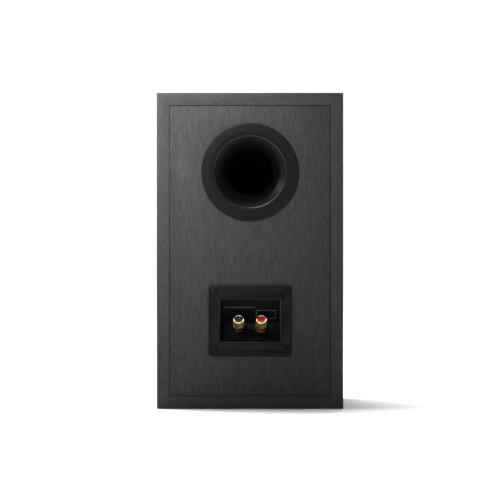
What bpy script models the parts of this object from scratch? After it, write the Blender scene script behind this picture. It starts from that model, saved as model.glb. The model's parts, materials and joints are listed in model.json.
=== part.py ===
"""A compact two-way bookshelf loudspeaker, as separate parts in metres.

+Z is up. The drivers face -Y, and the port and the terminals face +Y.
The origin is the centre of the underside. Each part is one closed solid.
"""

import math

import bmesh
import bpy
from mathutils import Vector

# Cabinet
CABINET_WIDTH = 0.180
CABINET_HEIGHT = 0.305
CABINET_DEPTH = 0.240
BOARD = 0.015  # thickness of the four mitred boards
REBATE = 0.003  # how deep the front and rear panels are let into the boards
PANEL_RECESS = 0.0012  # the panels lie this far inside the boards' edges
PANEL_REVEAL = 0.0006  # gap round a panel's edge
BAFFLE_THICKNESS = 0.018
REAR_THICKNESS = 0.012

# Clearances
SEAT = 0.0003  # between two pieces that rest on each other
SLIP = 0.0003  # radial, between a shaft and the hole it sits in
MERGE = 0.000001
OVERCUT = 0.001  # how far a cutter runs past a face

# Brace and lining
BRACE_THICKNESS = 0.012
BRACE_RIM = 0.028
BRACE_CORNER = 0.020
FOAM_THICKNESS = 0.012

# Port
PORT_FROM_TOP = 0.0762
PORT_BORE = 0.0445
PORT_MOUTH = 0.0686
PORT_WALL = 0.0022
PORT_FLARE_DEPTH = 0.022
PORT_LENGTH = 0.118
PORT_LIP = 0.0034  # height of the lip over the rear panel
PORT_INNER_MOUTH = 0.064
PORT_SOCKET = 0.010
RING_BAND = 0.0127  # from the mouth's edge to the ring's outer edge
RING_HEIGHT = 0.0028
RING_SLOPE = 0.0032
RING_SEAT = 0.0052  # how far the ring covers the flare's rim
RIM_THICKNESS = 0.0010

# Terminal cup
CUP_CENTRE_HEIGHT = 0.0848
CUP_WIDTH = 0.080
CUP_HEIGHT = 0.068
CUP_CORNER = 0.0026
CUP_BEVEL = 0.0016
CUP_FLANGE = 0.0026
CUP_WALL = 0.0020
POCKET_WIDTH = 0.058
POCKET_HEIGHT = 0.0409
POCKET_TOP_DEPTH = 0.0030
PLATE_LEDGE = 0.0062  # depth of the lower plate's outer edge
PLATE_RISE = 0.0176  # height of the lower plate, seen from behind
PLATE_TILT = math.radians(40)
GASKET = 0.0006
GASKET_MARGIN = 0.0015
CUP_SCREW_ACROSS = 0.070
CUP_SCREW_UP = 0.0545

# Binding posts, measured along the post from the lower plate's face
POST_SPACING = 0.022
POST_RISE = 0.0121
COLLAR_RADIUS = 0.0062
COLLAR_HEIGHT = 0.0034
COLLAR_EDGE = 0.0007
SHANK_RADIUS = 0.0020
SHANK_TAIL = 0.0130
BARREL_RADIUS = 0.0030
WIRE_HOLE_RADIUS = 0.0011
SOCKET_RADIUS = 0.0020
STUD_WEB = 0.0012  # metal between the wire hole and the socket
WASHER_RADIUS = 0.0050
WASHER_THICKNESS = 0.0010
CAP_RADIUS = 0.0055
CAP_LENGTH = 0.0108
CAP_MOUTH_STEP = 0.0009  # how much wider the mouth is than the stud's barrel
CAP_MOUTH_DEPTH = 0.0020
CAP_EDGE = 0.0006
PLUG_HEAD = 0.0012
PLUG_EDGE = 0.0006
NUT_RADIUS = 0.0040
NUT_THICKNESS = 0.0030

# Screws
SCREW_HEAD_RADIUS = 0.0035
SCREW_HEAD_HEIGHT = 0.0015
SCREW_HEAD_CROWN = 0.6  # height of the head's edge, as a share of its middle
SCREW_RADIUS = 0.0015
SCREW_LENGTH = 0.0120
HEAD_CLEARANCE = 0.0005

# Woofer, radii and depths from the baffle's face
WOOFER_HEIGHT = 0.100
WOOFER_RADIUS = 0.0665
WOOFER_CUTOUT = 0.0575
WOOFER_FLANGE = 0.0040
FLANGE_EDGE = 0.0008  # chamfer round both drivers' flanges
WOOFER_SCREW_CIRCLE = 0.0620
BASKET_WALL = 0.0022
BASKET_DEPTH = 0.0430
BASKET_BACK_RADIUS = 0.044
BASKET_BACK_HOLE = 0.020
SPIDER_DEPTH = 0.0270
SPIDER_LEDGE = 0.0035
SPIDER_WAVES = 3
SPIDER_WAVE = 0.0008
SPIDER_THICKNESS = 0.0008
WINDOW_WIDTH = 0.026
WINDOW_MARGIN = 0.003  # metal left above and below a window
SURROUND_OUTER = 0.0572
SURROUND_ROLL_CENTRE = 0.0500
SURROUND_ROLL = 0.0048
SURROUND_THICKNESS = 0.0009
CONE_RADIUS = 0.0450
CONE_LAND = 0.0032
CONE_DEPTH = 0.0185
CONE_SAG = 0.0016  # how far the cone's wall curves from straight
CONE_THICKNESS = 0.0010
DUST_CAP_RADIUS = 0.0170
DUST_CAP_HEIGHT = 0.0075
DUST_CAP_THICKNESS = 0.0007
COIL_RADIUS = 0.0127
COIL_THICKNESS = 0.0006
COIL_WINDING = 0.0004
COIL_LEAD_IN = 0.0035  # how far the winding starts before the top plate
COIL_END = 0.0530
GAP_CLEARANCE = 0.0005
WOOFER_PLATE_RADIUS = 0.040
WOOFER_PLATE = 0.0050
WOOFER_MAGNET_RADIUS = 0.045
WOOFER_MAGNET = 0.0150
MAGNET_HOLE = 0.020

# Tweeter
TWEETER_FROM_TOP = 0.077
TWEETER_RADIUS = 0.045
TWEETER_CUTOUT = 0.0355
TWEETER_FLANGE = 0.0035
TWEETER_SCREW_CIRCLE = 0.0393
TWEETER_BOSS_RADIUS = 0.0340
TWEETER_BOSS = 0.0050
HORN_RADIUS = 0.0300
HORN_THROAT = 0.0162
HORN_DEPTH = 0.0038
DOME_RADIUS = 0.0125
DOME_HEIGHT = 0.0045
DOME_ROLL = 0.0015
DOME_THICKNESS = 0.0005
DOME_SEAT_DEPTH = 0.0062
TWEETER_COIL_RADIUS = 0.0124
TWEETER_COIL_END = 0.0125
TWEETER_PLATE_DEPTH = 0.0072
TWEETER_PLATE_RADIUS = 0.033
TWEETER_PLATE = 0.0035
TWEETER_MAGNET_RADIUS = 0.034
TWEETER_MAGNET = 0.0100
TWEETER_MAGNET_HOLE = 0.0160

# Crossover
CROSSOVER_WIDTH = 0.110
CROSSOVER_LENGTH = 0.080
CROSSOVER_THICKNESS = 0.0030
CROSSOVER_CORNER = 0.003
CROSSOVER_Y = 0.030
CROSSOVER_MARGIN = 0.0085  # from the board's edges to the coils and the capacitors
WOOFER_INDUCTOR = (0.009, 0.018, 0.018)  # hole, radius, height
TWEETER_INDUCTOR = (0.006, 0.012, 0.012)
WOOFER_CAPACITOR = (0.0075, 0.034)  # radius, length
TWEETER_CAPACITOR = (0.0060, 0.028)
CAPACITOR_EDGE = 0.001

# Internal leads
LEAD_RADIUS = 0.0012
LEAD_SPACING = 0.0050
LEAD_GAP = 0.003  # from a lead's end to what it serves
CONNECTOR = Vector((0.012, 0.006, 0.007))
CONNECTOR_INSET = 0.007  # from the board's edge to a connector's middle
WOOFER_TAG_DEPTH = 0.032
WOOFER_TAG_ACROSS = -0.016
WOOFER_TAG_SPREAD = 0.004
TWEETER_TAG_UP = 0.018
TWEETER_TAG_SPREAD = 0.006

# Sides of a turned shape
LARGE_SIDES = 28
SMALL_SIDES = 16
HOLE_SIDES = 10

# Places that follow from the sizes above
INSIDE_HALF_WIDTH = CABINET_WIDTH / 2 - BOARD
BAFFLE_FACE = -CABINET_DEPTH / 2 + PANEL_RECESS
BAFFLE_BACK = BAFFLE_FACE + BAFFLE_THICKNESS
REAR_FACE = CABINET_DEPTH / 2 - PANEL_RECESS
REAR_BACK = REAR_FACE - REAR_THICKNESS
PORT_HEIGHT = CABINET_HEIGHT - PORT_FROM_TOP
TWEETER_HEIGHT = CABINET_HEIGHT - TWEETER_FROM_TOP
CUP_BACK = REAR_FACE + SEAT + GASKET + SEAT
CUP_FACE = CUP_BACK + CUP_FLANGE
POCKET_LOW = CUP_CENTRE_HEIGHT - POCKET_HEIGHT / 2
POCKET_HIGH = CUP_CENTRE_HEIGHT + POCKET_HEIGHT / 2
CREASE_DEPTH = PLATE_LEDGE + PLATE_RISE * math.tan(PLATE_TILT)
BRACE_HEIGHT = (WOOFER_HEIGHT + WOOFER_CUTOUT + TWEETER_HEIGHT - TWEETER_CUTOUT) / 2
WASHER_START = SEAT + COLLAR_HEIGHT + SEAT
CAP_START = WASHER_START + WASHER_THICKNESS + SEAT
MOUTH_FLOOR = CAP_START + CAP_LENGTH - CAP_MOUTH_DEPTH
CAP_MOUTH_RADIUS = BARREL_RADIUS + CAP_MOUTH_STEP
SHOULDER = SEAT + COLLAR_HEIGHT + SEAT
WIRE_HOLE = SHOULDER + WIRE_HOLE_RADIUS + SEAT
SOCKET_FLOOR = WIRE_HOLE + WIRE_HOLE_RADIUS + STUD_WEB

BLACK_ASH = ((0.035, 0.035, 0.036), 0.55, 0.0)
BLACK_PLASTIC = ((0.018, 0.019, 0.021), 0.50, 0.0)
RED_PLASTIC = ((0.42, 0.012, 0.010), 0.30, 0.0)
GOLD = ((0.80, 0.58, 0.26), 0.22, 1.0)
BLACK_STEEL = ((0.025, 0.025, 0.026), 0.35, 0.6)
STEEL = ((0.55, 0.55, 0.56), 0.35, 1.0)
FERRITE = ((0.07, 0.07, 0.075), 0.60, 0.0)
PAINTED_STEEL = ((0.03, 0.03, 0.03), 0.45, 0.3)
CONE_PULP = ((0.045, 0.045, 0.047), 0.70, 0.0)
RUBBER = ((0.015, 0.015, 0.015), 0.65, 0.0)
CAP_SHEET = ((0.020, 0.020, 0.022), 0.35, 0.0)
SILK = ((0.025, 0.025, 0.028), 0.50, 0.0)
SPIDER_CLOTH = ((0.55, 0.38, 0.16), 0.85, 0.0)
COPPER = ((0.72, 0.33, 0.17), 0.30, 1.0)
CIRCUIT_BOARD = ((0.10, 0.20, 0.08), 0.50, 0.0)
FILM_SLEEVE = ((0.50, 0.38, 0.08), 0.40, 0.0)
FOAM = ((0.10, 0.10, 0.11), 0.95, 0.0)
BARE_BOARD = ((0.40, 0.27, 0.15), 0.80, 0.0)
LEAD_SLEEVE = ((0.05, 0.05, 0.05), 0.45, 0.0)


def clear_scene():
    for obj in list(bpy.data.objects):
        bpy.data.objects.remove(obj)


def finish_of(name, finish):
    """A Principled material with a finish's colour, roughness and metallic value."""
    colour, roughness, metallic = finish
    made = bpy.data.materials.new(name + "_finish")
    made.use_nodes = True
    shader = made.node_tree.nodes["Principled BSDF"]
    shader.inputs["Base Color"].default_value = (*colour, 1.0)
    shader.inputs["Roughness"].default_value = roughness
    shader.inputs["Metallic"].default_value = metallic
    made.diffuse_color = (*colour, 1.0)
    return made


def object_from(shape, name, finish=None):
    """A scene object made of a bmesh. With no finish it is a cutter or a helper."""
    bmesh.ops.recalc_face_normals(shape, faces=shape.faces)
    mesh = bpy.data.meshes.new(name)
    shape.to_mesh(mesh)
    shape.free()
    obj = bpy.data.objects.new(name, mesh)
    bpy.context.scene.collection.objects.link(obj)
    if finish is None:
        hide(obj)
    else:
        mesh.materials.append(finish_of(name, finish))
    return obj


def hide(obj):
    obj.hide_render = True
    obj.display_type = "WIRE"


def smooth(obj):
    """Shades the round faces smooth and keeps the corners sharp."""
    obj.data.shade_smooth()
    obj.data.set_sharp_from_angle(angle=math.radians(35))


def combine(obj, other, operation):
    hide(other)
    step = obj.modifiers.new(operation.title(), "BOOLEAN")
    step.operation = operation
    step.solver = "EXACT"
    step.object = other


def cut(obj, *cutters):
    for cutter in cutters:
        combine(obj, cutter, "DIFFERENCE")


def unite(obj, *others):
    for other in others:
        combine(obj, other, "UNION")


def turned(name, outline, finish=None, sides=LARGE_SIDES):
    """A solid turned about its own Z axis from (radius, height) points.

    An outline that starts and ends at radius 0 is closed by the axis. Any other is closed by
    joining its last point to its first.
    """
    shape = bmesh.new()
    points = [shape.verts.new((radius, 0.0, height)) for radius, height in outline]
    edges = [shape.edges.new(pair) for pair in zip(points, points[1:])]
    if outline[0][0] > 0.0:
        edges.append(shape.edges.new((points[-1], points[0])))
    bmesh.ops.spin(
        shape,
        geom=points + edges,
        cent=(0.0, 0.0, 0.0),
        axis=(0.0, 0.0, 1.0),
        angle=math.tau,
        steps=sides,
        use_merge=True,
    )
    bmesh.ops.remove_doubles(shape, verts=shape.verts, dist=MERGE)
    obj = object_from(shape, name, finish)
    smooth(obj)
    return obj


def rod(name, radius, start, end, finish=None, sides=SMALL_SIDES):
    """A plain cylinder on its own Z axis."""
    outline = [(0.0, end), (radius, end), (radius, start), (0.0, start)]
    return turned(name, outline, finish, sides)


def washer(name, inner, outer, start, end, finish, sides=LARGE_SIDES):
    """A flat ring on its own Z axis."""
    outline = [(outer, end), (outer, start), (inner, start), (inner, end)]
    return turned(name, outline, finish, sides)


def prism(name, outline, start, end, across, finish=None):
    """An outline extruded along one axis, from start to end.

    across is "X" for an outline of (y, z) points, "Y" for (x, z) and "Z" for (x, y).
    """
    place = {
        "X": lambda a, b: (start, a, b),
        "Y": lambda a, b: (a, start, b),
        "Z": lambda a, b: (a, b, start),
    }[across]
    travel = Vector([end - start if letter == across else 0.0 for letter in "XYZ"])
    shape = bmesh.new()
    face = shape.faces.new([shape.verts.new(place(a, b)) for a, b in outline])
    made = bmesh.ops.extrude_face_region(shape, geom=[face])
    moved = [item for item in made["geom"] if isinstance(item, bmesh.types.BMVert)]
    bmesh.ops.translate(shape, vec=travel, verts=moved)
    return object_from(shape, name, finish)


def rectangle(centre, width, height, corner=0.0, steps=3):
    """The outline of a rectangle, with rounded corners if corner is over 0."""
    half_width = width / 2 - corner
    half_height = height / 2 - corner
    signs = [(1, 1), (-1, 1), (-1, -1), (1, -1)]
    if corner == 0.0:
        return [(centre[0] + a * half_width, centre[1] + b * half_height) for a, b in signs]
    points = []
    for quarter, (a, b) in enumerate(signs):
        for step in range(steps + 1):
            angle = math.pi / 2 * (quarter + step / steps)
            x = centre[0] + a * half_width + corner * math.cos(angle)
            z = centre[1] + b * half_height + corner * math.sin(angle)
            points.append((x, z))
    return points


def arc(centre, radii, start, end, steps):
    """Points on an ellipse's arc. Angles are in degrees, from the first axis."""
    points = []
    for step in range(steps + 1):
        angle = math.radians(start + (end - start) * step / steps)
        first = centre[0] + radii[0] * math.cos(angle)
        second = centre[1] + radii[1] * math.sin(angle)
        points.append((first, second))
    return points


def facing(obj, height, face, inward=True, across=0.0):
    """Stands a turned shape's Z axis along +Y, into the cabinet from its front, or else along -Y."""
    obj.location = (across, face, height)
    obj.rotation_euler = (math.radians(-90 if inward else 90), 0.0, 0.0)
    return obj


# Cabinet


def board(name, length, out, middle, finish):
    """One mitred board. out is the direction its outer face looks in, and middle is that face's centre.

    The section runs along Y, with a rebate at each end, and shortens towards the inner face, so
    that four of them meet in 45 degree mitres.
    """
    half = CABINET_DEPTH / 2
    inner = BOARD
    step = BOARD - REBATE
    front = BAFFLE_BACK + SEAT
    rear = REAR_BACK - SEAT
    section = [
        (-half, 0.0),
        (half, 0.0),
        (half, step),
        (rear, step),
        (rear, inner),
        (front, inner),
        (front, step),
        (-half, step),
    ]
    along = Vector((abs(out.z), 0.0, abs(out.x)))
    shape = bmesh.new()
    rings = []
    for side in (-1, 1):
        ring = []
        for y, depth in section:
            reach = side * (length / 2 - depth - SEAT / 2)
            ring.append(shape.verts.new(middle + along * reach - out * depth + Vector((0, y, 0))))
        rings.append(ring)
        shape.faces.new(ring)
    for i in range(len(section)):
        j = (i + 1) % len(section)
        shape.faces.new((rings[0][i], rings[0][j], rings[1][j], rings[1][i]))
    return object_from(shape, name, finish)


def cabinet_boards():
    half_width = CABINET_WIDTH / 2
    half_height = CABINET_HEIGHT / 2
    left = Vector((-1, 0, 0))
    up = Vector((0, 0, 1))
    centre = up * half_height
    board("cabinet_left_side", CABINET_HEIGHT, left, centre + left * half_width, BLACK_ASH)
    board("cabinet_right_side", CABINET_HEIGHT, -left, centre - left * half_width, BLACK_ASH)
    board("cabinet_top", CABINET_WIDTH, up, centre + up * half_height, BLACK_ASH)
    board("cabinet_bottom", CABINET_WIDTH, -up, centre - up * half_height, BLACK_ASH)


def panel(name, start, end):
    """A panel let into the boards' rebates."""
    width = CABINET_WIDTH - 2 * (BOARD - REBATE + PANEL_REVEAL)
    height = CABINET_HEIGHT - 2 * (BOARD - REBATE + PANEL_REVEAL)
    outline = rectangle((0.0, CABINET_HEIGHT / 2), width, height)
    return prism(name, outline, start, end, "Y", BLACK_ASH)


def round_hole(name, radius, height, start, end, across=0.0, sides=LARGE_SIDES):
    """A cutter for a round hole along Y."""
    return facing(rod(name, radius, 0.0, end - start, None, sides), height, start, True, across)


def sunk_hole(name, wide, narrow, floor, back, sides):
    """A cutter for a hole with a wide mouth down to a floor, on its own Z axis from the face."""
    outline = [
        (0.0, back),
        (narrow, back),
        (narrow, floor),
        (wide, floor),
        (wide, -OVERCUT),
        (0.0, -OVERCUT),
    ]
    return turned(name, outline, None, sides)


def screw_places(circle):
    """The four (across, up) offsets of screws on a circle, at 45 degrees."""
    reach = circle * math.sqrt(0.5)
    return [(-reach, reach), (reach, reach), (reach, -reach), (-reach, -reach)]


def driver_holes(baffle, label, height, radius, cutout, flange, circle):
    """A sunk seat, a through hole and four screw holes for one driver."""
    wide = radius + 2 * SLIP
    floor = flange + SEAT
    back = BAFFLE_THICKNESS + OVERCUT
    opening = sunk_hole(label + "_cutter", wide, cutout, floor, back, LARGE_SIDES)
    cut(baffle, facing(opening, height, BAFFLE_FACE))
    for number, (x, z) in enumerate(screw_places(circle), 1):
        name = f"{label}_pilot_cutter_{number}"
        hole = rod(name, SCREW_RADIUS + SLIP, floor / 2, back, None, HOLE_SIDES)
        cut(baffle, facing(hole, height + z, BAFFLE_FACE, True, x))


def front_baffle():
    baffle = panel("front_baffle", BAFFLE_FACE, BAFFLE_BACK)
    driver_holes(
        baffle,
        "woofer",
        WOOFER_HEIGHT,
        WOOFER_RADIUS,
        WOOFER_CUTOUT,
        WOOFER_FLANGE,
        WOOFER_SCREW_CIRCLE,
    )
    driver_holes(
        baffle,
        "tweeter",
        TWEETER_HEIGHT,
        TWEETER_RADIUS,
        TWEETER_CUTOUT,
        TWEETER_FLANGE,
        TWEETER_SCREW_CIRCLE,
    )


def cup_screw_places():
    x = CUP_SCREW_ACROSS / 2
    z = CUP_SCREW_UP / 2
    return [(-x, z), (x, z), (x, -z), (-x, -z)]


def rear_panel():
    rear = panel("rear_panel", REAR_BACK, REAR_FACE)
    start = REAR_BACK - OVERCUT
    end = REAR_FACE + OVERCUT
    port = PORT_MOUTH / 2 + PORT_WALL
    cut(rear, round_hole("port_cutter", port, PORT_HEIGHT, start, end))
    wall = 2 * (CUP_WALL + SEAT)
    opening = rectangle((0.0, CUP_CENTRE_HEIGHT), POCKET_WIDTH + wall, POCKET_HEIGHT + wall)
    cut(rear, prism("cup_cutter", opening, start, end, "Y"))
    for number, (x, z) in enumerate(cup_screw_places(), 1):
        name = f"cup_pilot_cutter_{number}"
        height = CUP_CENTRE_HEIGHT + z
        hole = SCREW_RADIUS + SLIP
        cut(rear, round_hole(name, hole, height, start, end, x, HOLE_SIDES))


def cabinet_brace():
    """A window brace, glued across the cabinet between the two drivers."""
    start = BAFFLE_BACK + SEAT
    end = REAR_BACK - SEAT
    width = 2 * (INSIDE_HALF_WIDTH - SEAT)
    length = end - start
    middle = (0.0, (start + end) / 2)
    low = BRACE_HEIGHT - BRACE_THICKNESS / 2
    high = BRACE_HEIGHT + BRACE_THICKNESS / 2
    brace = prism("cabinet_brace", rectangle(middle, width, length), low, high, "Z", BARE_BOARD)
    window = rectangle(middle, width - 2 * BRACE_RIM, length - 2 * BRACE_RIM, BRACE_CORNER, 4)
    cut(brace, prism("brace_cutter", window, low - OVERCUT, high + OVERCUT, "Z"))


def damping_foam():
    """A sheet of foam over the sides and the top, above the brace."""
    outer = INSIDE_HALF_WIDTH - SEAT
    inner = outer - FOAM_THICKNESS
    low = BRACE_HEIGHT + BRACE_THICKNESS / 2 + SEAT
    high = CABINET_HEIGHT - BOARD - SEAT
    under = high - FOAM_THICKNESS
    outline = [
        (-outer, low),
        (-outer, high),
        (outer, high),
        (outer, low),
        (inner, low),
        (inner, under),
        (-inner, under),
        (-inner, low),
    ]
    start = BAFFLE_BACK + 10 * SEAT
    end = REAR_BACK - 10 * SEAT
    prism("damping_foam", outline, start, end, "Y", FOAM)


# Port


def on_the_rear(obj, height, across=0.0):
    """Stands a turned shape's Z axis along +Y, with its zero on the rear panel's face."""
    obj.location = (across, REAR_FACE, height)
    obj.rotation_euler = (math.radians(-90), 0.0, 0.0)
    return obj


def port_trim_ring():
    """A ring with a sloped outer edge. Its stepped underside holds the flare's rim down."""
    outer = PORT_MOUTH / 2 + RING_BAND
    inner = PORT_MOUTH / 2 + RIM_THICKNESS + SLIP
    under = inner + RING_SEAT
    step = SEAT + RIM_THICKNESS + SEAT
    outline = [
        (inner, RING_HEIGHT - SLIP),
        (inner + SLIP, RING_HEIGHT),
        (outer - RING_SLOPE, RING_HEIGHT),
        (outer - SLIP, SEAT + SLIP),
        (outer, SEAT),
        (under, SEAT),
        (under, step),
        (inner, step),
    ]
    ring = turned("port_trim_ring", outline, BLACK_PLASTIC)
    on_the_rear(ring, PORT_HEIGHT)


def port_flare():
    """The flared mouth: a quarter ellipse from the bore to the lip, with a rim under the ring."""
    mouth = PORT_MOUTH / 2
    bore = PORT_BORE / 2
    lip = mouth + RIM_THICKNESS
    rim = lip + RING_SEAT - SLIP
    neck = bore + PORT_WALL
    rise = PORT_FLARE_DEPTH + PORT_LIP
    neck_end = -PORT_FLARE_DEPTH - PORT_SOCKET
    inside = arc((mouth, -PORT_FLARE_DEPTH), (bore - mouth, rise), 90, 0, 6)
    body = mouth + PORT_WALL - 2 * SLIP
    outside = arc((body, -PORT_FLARE_DEPTH), (neck - body, PORT_FLARE_DEPTH * 0.8), 0, 90, 3)
    outline = [
        *inside,
        (bore, neck_end),
        (neck, neck_end),
        *outside,
        (body, SEAT),
        (rim, SEAT),
        (rim, SEAT + RIM_THICKNESS),
        (lip, SEAT + RIM_THICKNESS),
        (lip, PORT_LIP - RIM_THICKNESS / 2),
    ]
    on_the_rear(turned("port_flare", outline, BLACK_PLASTIC), PORT_HEIGHT)


def port_tube():
    """A straight tube with a socket over the flare's neck and a small flare at its inner end."""
    bore = PORT_BORE / 2
    outer = bore + PORT_WALL
    socket = outer + SLIP
    start = -PORT_FLARE_DEPTH - PORT_SOCKET - SEAT
    lip = -PORT_FLARE_DEPTH - 2 * SEAT
    spread = PORT_INNER_MOUTH / 2 - bore
    inside = arc((bore + spread, -PORT_LENGTH + spread), (-spread, -spread), 0, 80, 3)
    outside = arc(
        (bore + spread, -PORT_LENGTH + spread), (PORT_WALL - spread, PORT_WALL - spread), 80, 0, 3
    )
    outline = [
        (bore, start),
        *inside,
        *outside,
        (outer, start - 2 * PORT_WALL),
        (socket + PORT_WALL, start - PORT_WALL),
        (socket + PORT_WALL, lip),
        (socket, lip),
        (socket, start),
    ]
    on_the_rear(turned("port_tube", outline, BLACK_PLASTIC), PORT_HEIGHT)


# Terminals


def pocket_outline(wall=0.0):
    """The recess's side view as (y, z) points, or its outside when a wall is given."""
    face = CUP_FACE + OVERCUT if wall == 0.0 else CUP_BACK + CUP_FLANGE / 2
    crease_height = POCKET_LOW + PLATE_RISE
    upper_run = POCKET_HEIGHT - PLATE_RISE
    slope = math.atan2(upper_run, CREASE_DEPTH - POCKET_TOP_DEPTH)
    square = math.pi / 2 - slope
    lower_offset = wall * math.tan((math.pi / 2 - PLATE_TILT) / 2)
    upper_offset = wall * math.tan((math.pi / 2 - square) / 2)
    bend = (math.pi - PLATE_TILT - square) / 2
    reach = wall / math.sin(bend)
    turn = (PLATE_TILT - square) / 2
    return [
        (face, POCKET_LOW - wall),
        (CUP_FACE - PLATE_LEDGE - lower_offset, POCKET_LOW - wall),
        (
            CUP_FACE - CREASE_DEPTH - reach * math.cos(turn),
            crease_height - reach * math.sin(turn),
        ),
        (CUP_FACE - POCKET_TOP_DEPTH - upper_offset, POCKET_HIGH + wall),
        (face, POCKET_HIGH + wall),
    ]


def cup_flange():
    """The cup's flat front, with its edge bevelled."""
    outline = rectangle((0.0, CUP_CENTRE_HEIGHT), CUP_WIDTH, CUP_HEIGHT, CUP_CORNER, 3)
    flange = prism("terminal_cup", outline, CUP_BACK, CUP_FACE, "Y", BLACK_PLASTIC)
    shape = bmesh.new()
    shape.from_mesh(flange.data)
    front = [
        edge
        for edge in shape.edges
        if all(vertex.co.y > CUP_FACE - MERGE for vertex in edge.verts)
    ]
    bmesh.ops.bevel(
        shape, geom=front, offset=CUP_BEVEL, segments=1, affect="EDGES", clamp_overlap=True
    )
    shape.to_mesh(flange.data)
    shape.free()
    return flange


def screw_hole(name, thickness):
    """A cutter for a screw's hole and its sunk head, through a flange of that thickness."""
    head = SCREW_HEAD_RADIUS + HEAD_CLEARANCE
    hole = SCREW_RADIUS + SLIP
    return sunk_hole(name, head, hole, SCREW_HEAD_HEIGHT + SEAT, thickness + OVERCUT, HOLE_SIDES)


def terminal_cup():
    """A flange with a V-shaped recess: a printed upper wall, and a lower plate for the posts."""
    cup = cup_flange()
    half = POCKET_WIDTH / 2
    outside = half + CUP_WALL
    unite(cup, prism("cup_body", pocket_outline(CUP_WALL), -outside, outside, "X"))
    cut(cup, prism("pocket_cutter", pocket_outline(), -half, half, "X"))
    for number, (x, z) in enumerate(cup_screw_places(), 1):
        hole = screw_hole(f"cup_hole_cutter_{number}", CUP_FLANGE)
        cut(cup, facing(hole, CUP_CENTRE_HEIGHT + z, CUP_FACE, False, x))
    for side in (-1, 1):
        name = f"post_hole_cutter_{side + 1}"
        reach = CUP_WALL + SEAT + OVERCUT
        hole = rod(name, SHANK_RADIUS + SLIP, -reach, OVERCUT, None, SMALL_SIDES)
        on_the_plate(hole, side)
        cut(cup, hole)


def terminal_gasket():
    """A thin foam frame between the cup's flange and the rear panel."""
    centre = (0.0, CUP_CENTRE_HEIGHT)
    width = CUP_WIDTH - 2 * GASKET_MARGIN
    height = CUP_HEIGHT - 2 * GASKET_MARGIN
    start = REAR_FACE + SEAT
    end = start + GASKET
    gasket = prism(
        "terminal_gasket", rectangle(centre, width, height, CUP_CORNER, 2), start, end, "Y", FOAM
    )
    wall = 2 * (CUP_WALL + SEAT)
    opening = rectangle(centre, POCKET_WIDTH + wall, POCKET_HEIGHT + wall)
    cut(gasket, prism("gasket_cutter", opening, start - OVERCUT, end + OVERCUT, "Y"))
    for number, (x, z) in enumerate(cup_screw_places(), 1):
        hole = SCREW_RADIUS + SLIP
        name = f"gasket_hole_cutter_{number}"
        across = centre[1] + z
        cut(gasket, round_hole(name, hole, across, start - OVERCUT, end + OVERCUT, x, HOLE_SIDES))


def screw(name, length, finish):
    """A screw with a low rounded head. Its Z axis points out of the head, which sits on zero."""
    head = SCREW_HEAD_RADIUS
    top = SCREW_HEAD_HEIGHT
    outline = [
        (0.0, top),
        (head, top * SCREW_HEAD_CROWN),
        (head, 0.0),
        (SCREW_RADIUS, 0.0),
        (SCREW_RADIUS, SCREW_RADIUS - length),
        (0.0, -length),
    ]
    return turned(name, outline, finish, HOLE_SIDES)


def terminal_screws():
    for number, (x, z) in enumerate(cup_screw_places(), 1):
        made = screw(f"terminal_screw_{number}", SCREW_LENGTH, BLACK_STEEL)
        made.location = (x, CUP_FACE - SCREW_HEAD_HEIGHT, CUP_CENTRE_HEIGHT + z)
        made.rotation_euler = (math.radians(-90), 0.0, 0.0)


# Binding posts


def on_the_plate(obj, side):
    """Stands a turned shape on the lower plate, its Z axis square to the plate and pointing out."""
    depth = PLATE_LEDGE + POST_RISE * math.tan(PLATE_TILT)
    obj.location = (side * POST_SPACING / 2, CUP_FACE - depth, POCKET_LOW + POST_RISE)
    obj.rotation_euler = (PLATE_TILT - math.pi / 2, 0.0, 0.0)


def post_axis(label, side):
    """The empty that a post's parts hang on. Its Z axis is the post's."""
    axis = bpy.data.objects.new(label + "_post_axis", None)
    bpy.context.scene.collection.objects.link(axis)
    on_the_plate(axis, side)
    return axis


def post_stud(label):
    """A threaded shank, then a thicker barrel with a socket in its end and a hole for bare wire."""
    outline = [
        (0.0, SOCKET_FLOOR),
        (SOCKET_RADIUS, SOCKET_FLOOR),
        (SOCKET_RADIUS, MOUTH_FLOOR),
        (BARREL_RADIUS, MOUTH_FLOOR),
        (BARREL_RADIUS, SHOULDER),
        (SHANK_RADIUS, SHOULDER),
        (SHANK_RADIUS, -SHANK_TAIL),
        (0.0, -SHANK_TAIL),
    ]
    stud = turned(label + "_post_stud", outline, GOLD, SMALL_SIDES)
    reach = BARREL_RADIUS + OVERCUT
    hole = rod(label + "_wire_cutter", WIRE_HOLE_RADIUS, -reach, reach, None, HOLE_SIDES)
    hole.rotation_euler = (0.0, math.radians(90), 0.0)
    hole.location = (0.0, 0.0, WIRE_HOLE)
    hole.parent = stud
    cut(stud, hole)
    return stud


def post_cap(label):
    """The knurled cap that clamps a wire. Its mouth holds the head of the safety plug."""
    bore = BARREL_RADIUS + SLIP
    end = CAP_START + CAP_LENGTH
    outline = [
        (CAP_MOUTH_RADIUS, MOUTH_FLOOR),
        (CAP_MOUTH_RADIUS, end),
        (CAP_RADIUS - CAP_EDGE, end),
        (CAP_RADIUS, end - CAP_EDGE),
        (CAP_RADIUS, CAP_START + CAP_EDGE),
        (CAP_RADIUS - CAP_EDGE, CAP_START),
        (bore, CAP_START),
        (bore, MOUTH_FLOOR),
    ]
    return turned(label + "_post_cap", outline, GOLD, SMALL_SIDES)


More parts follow.
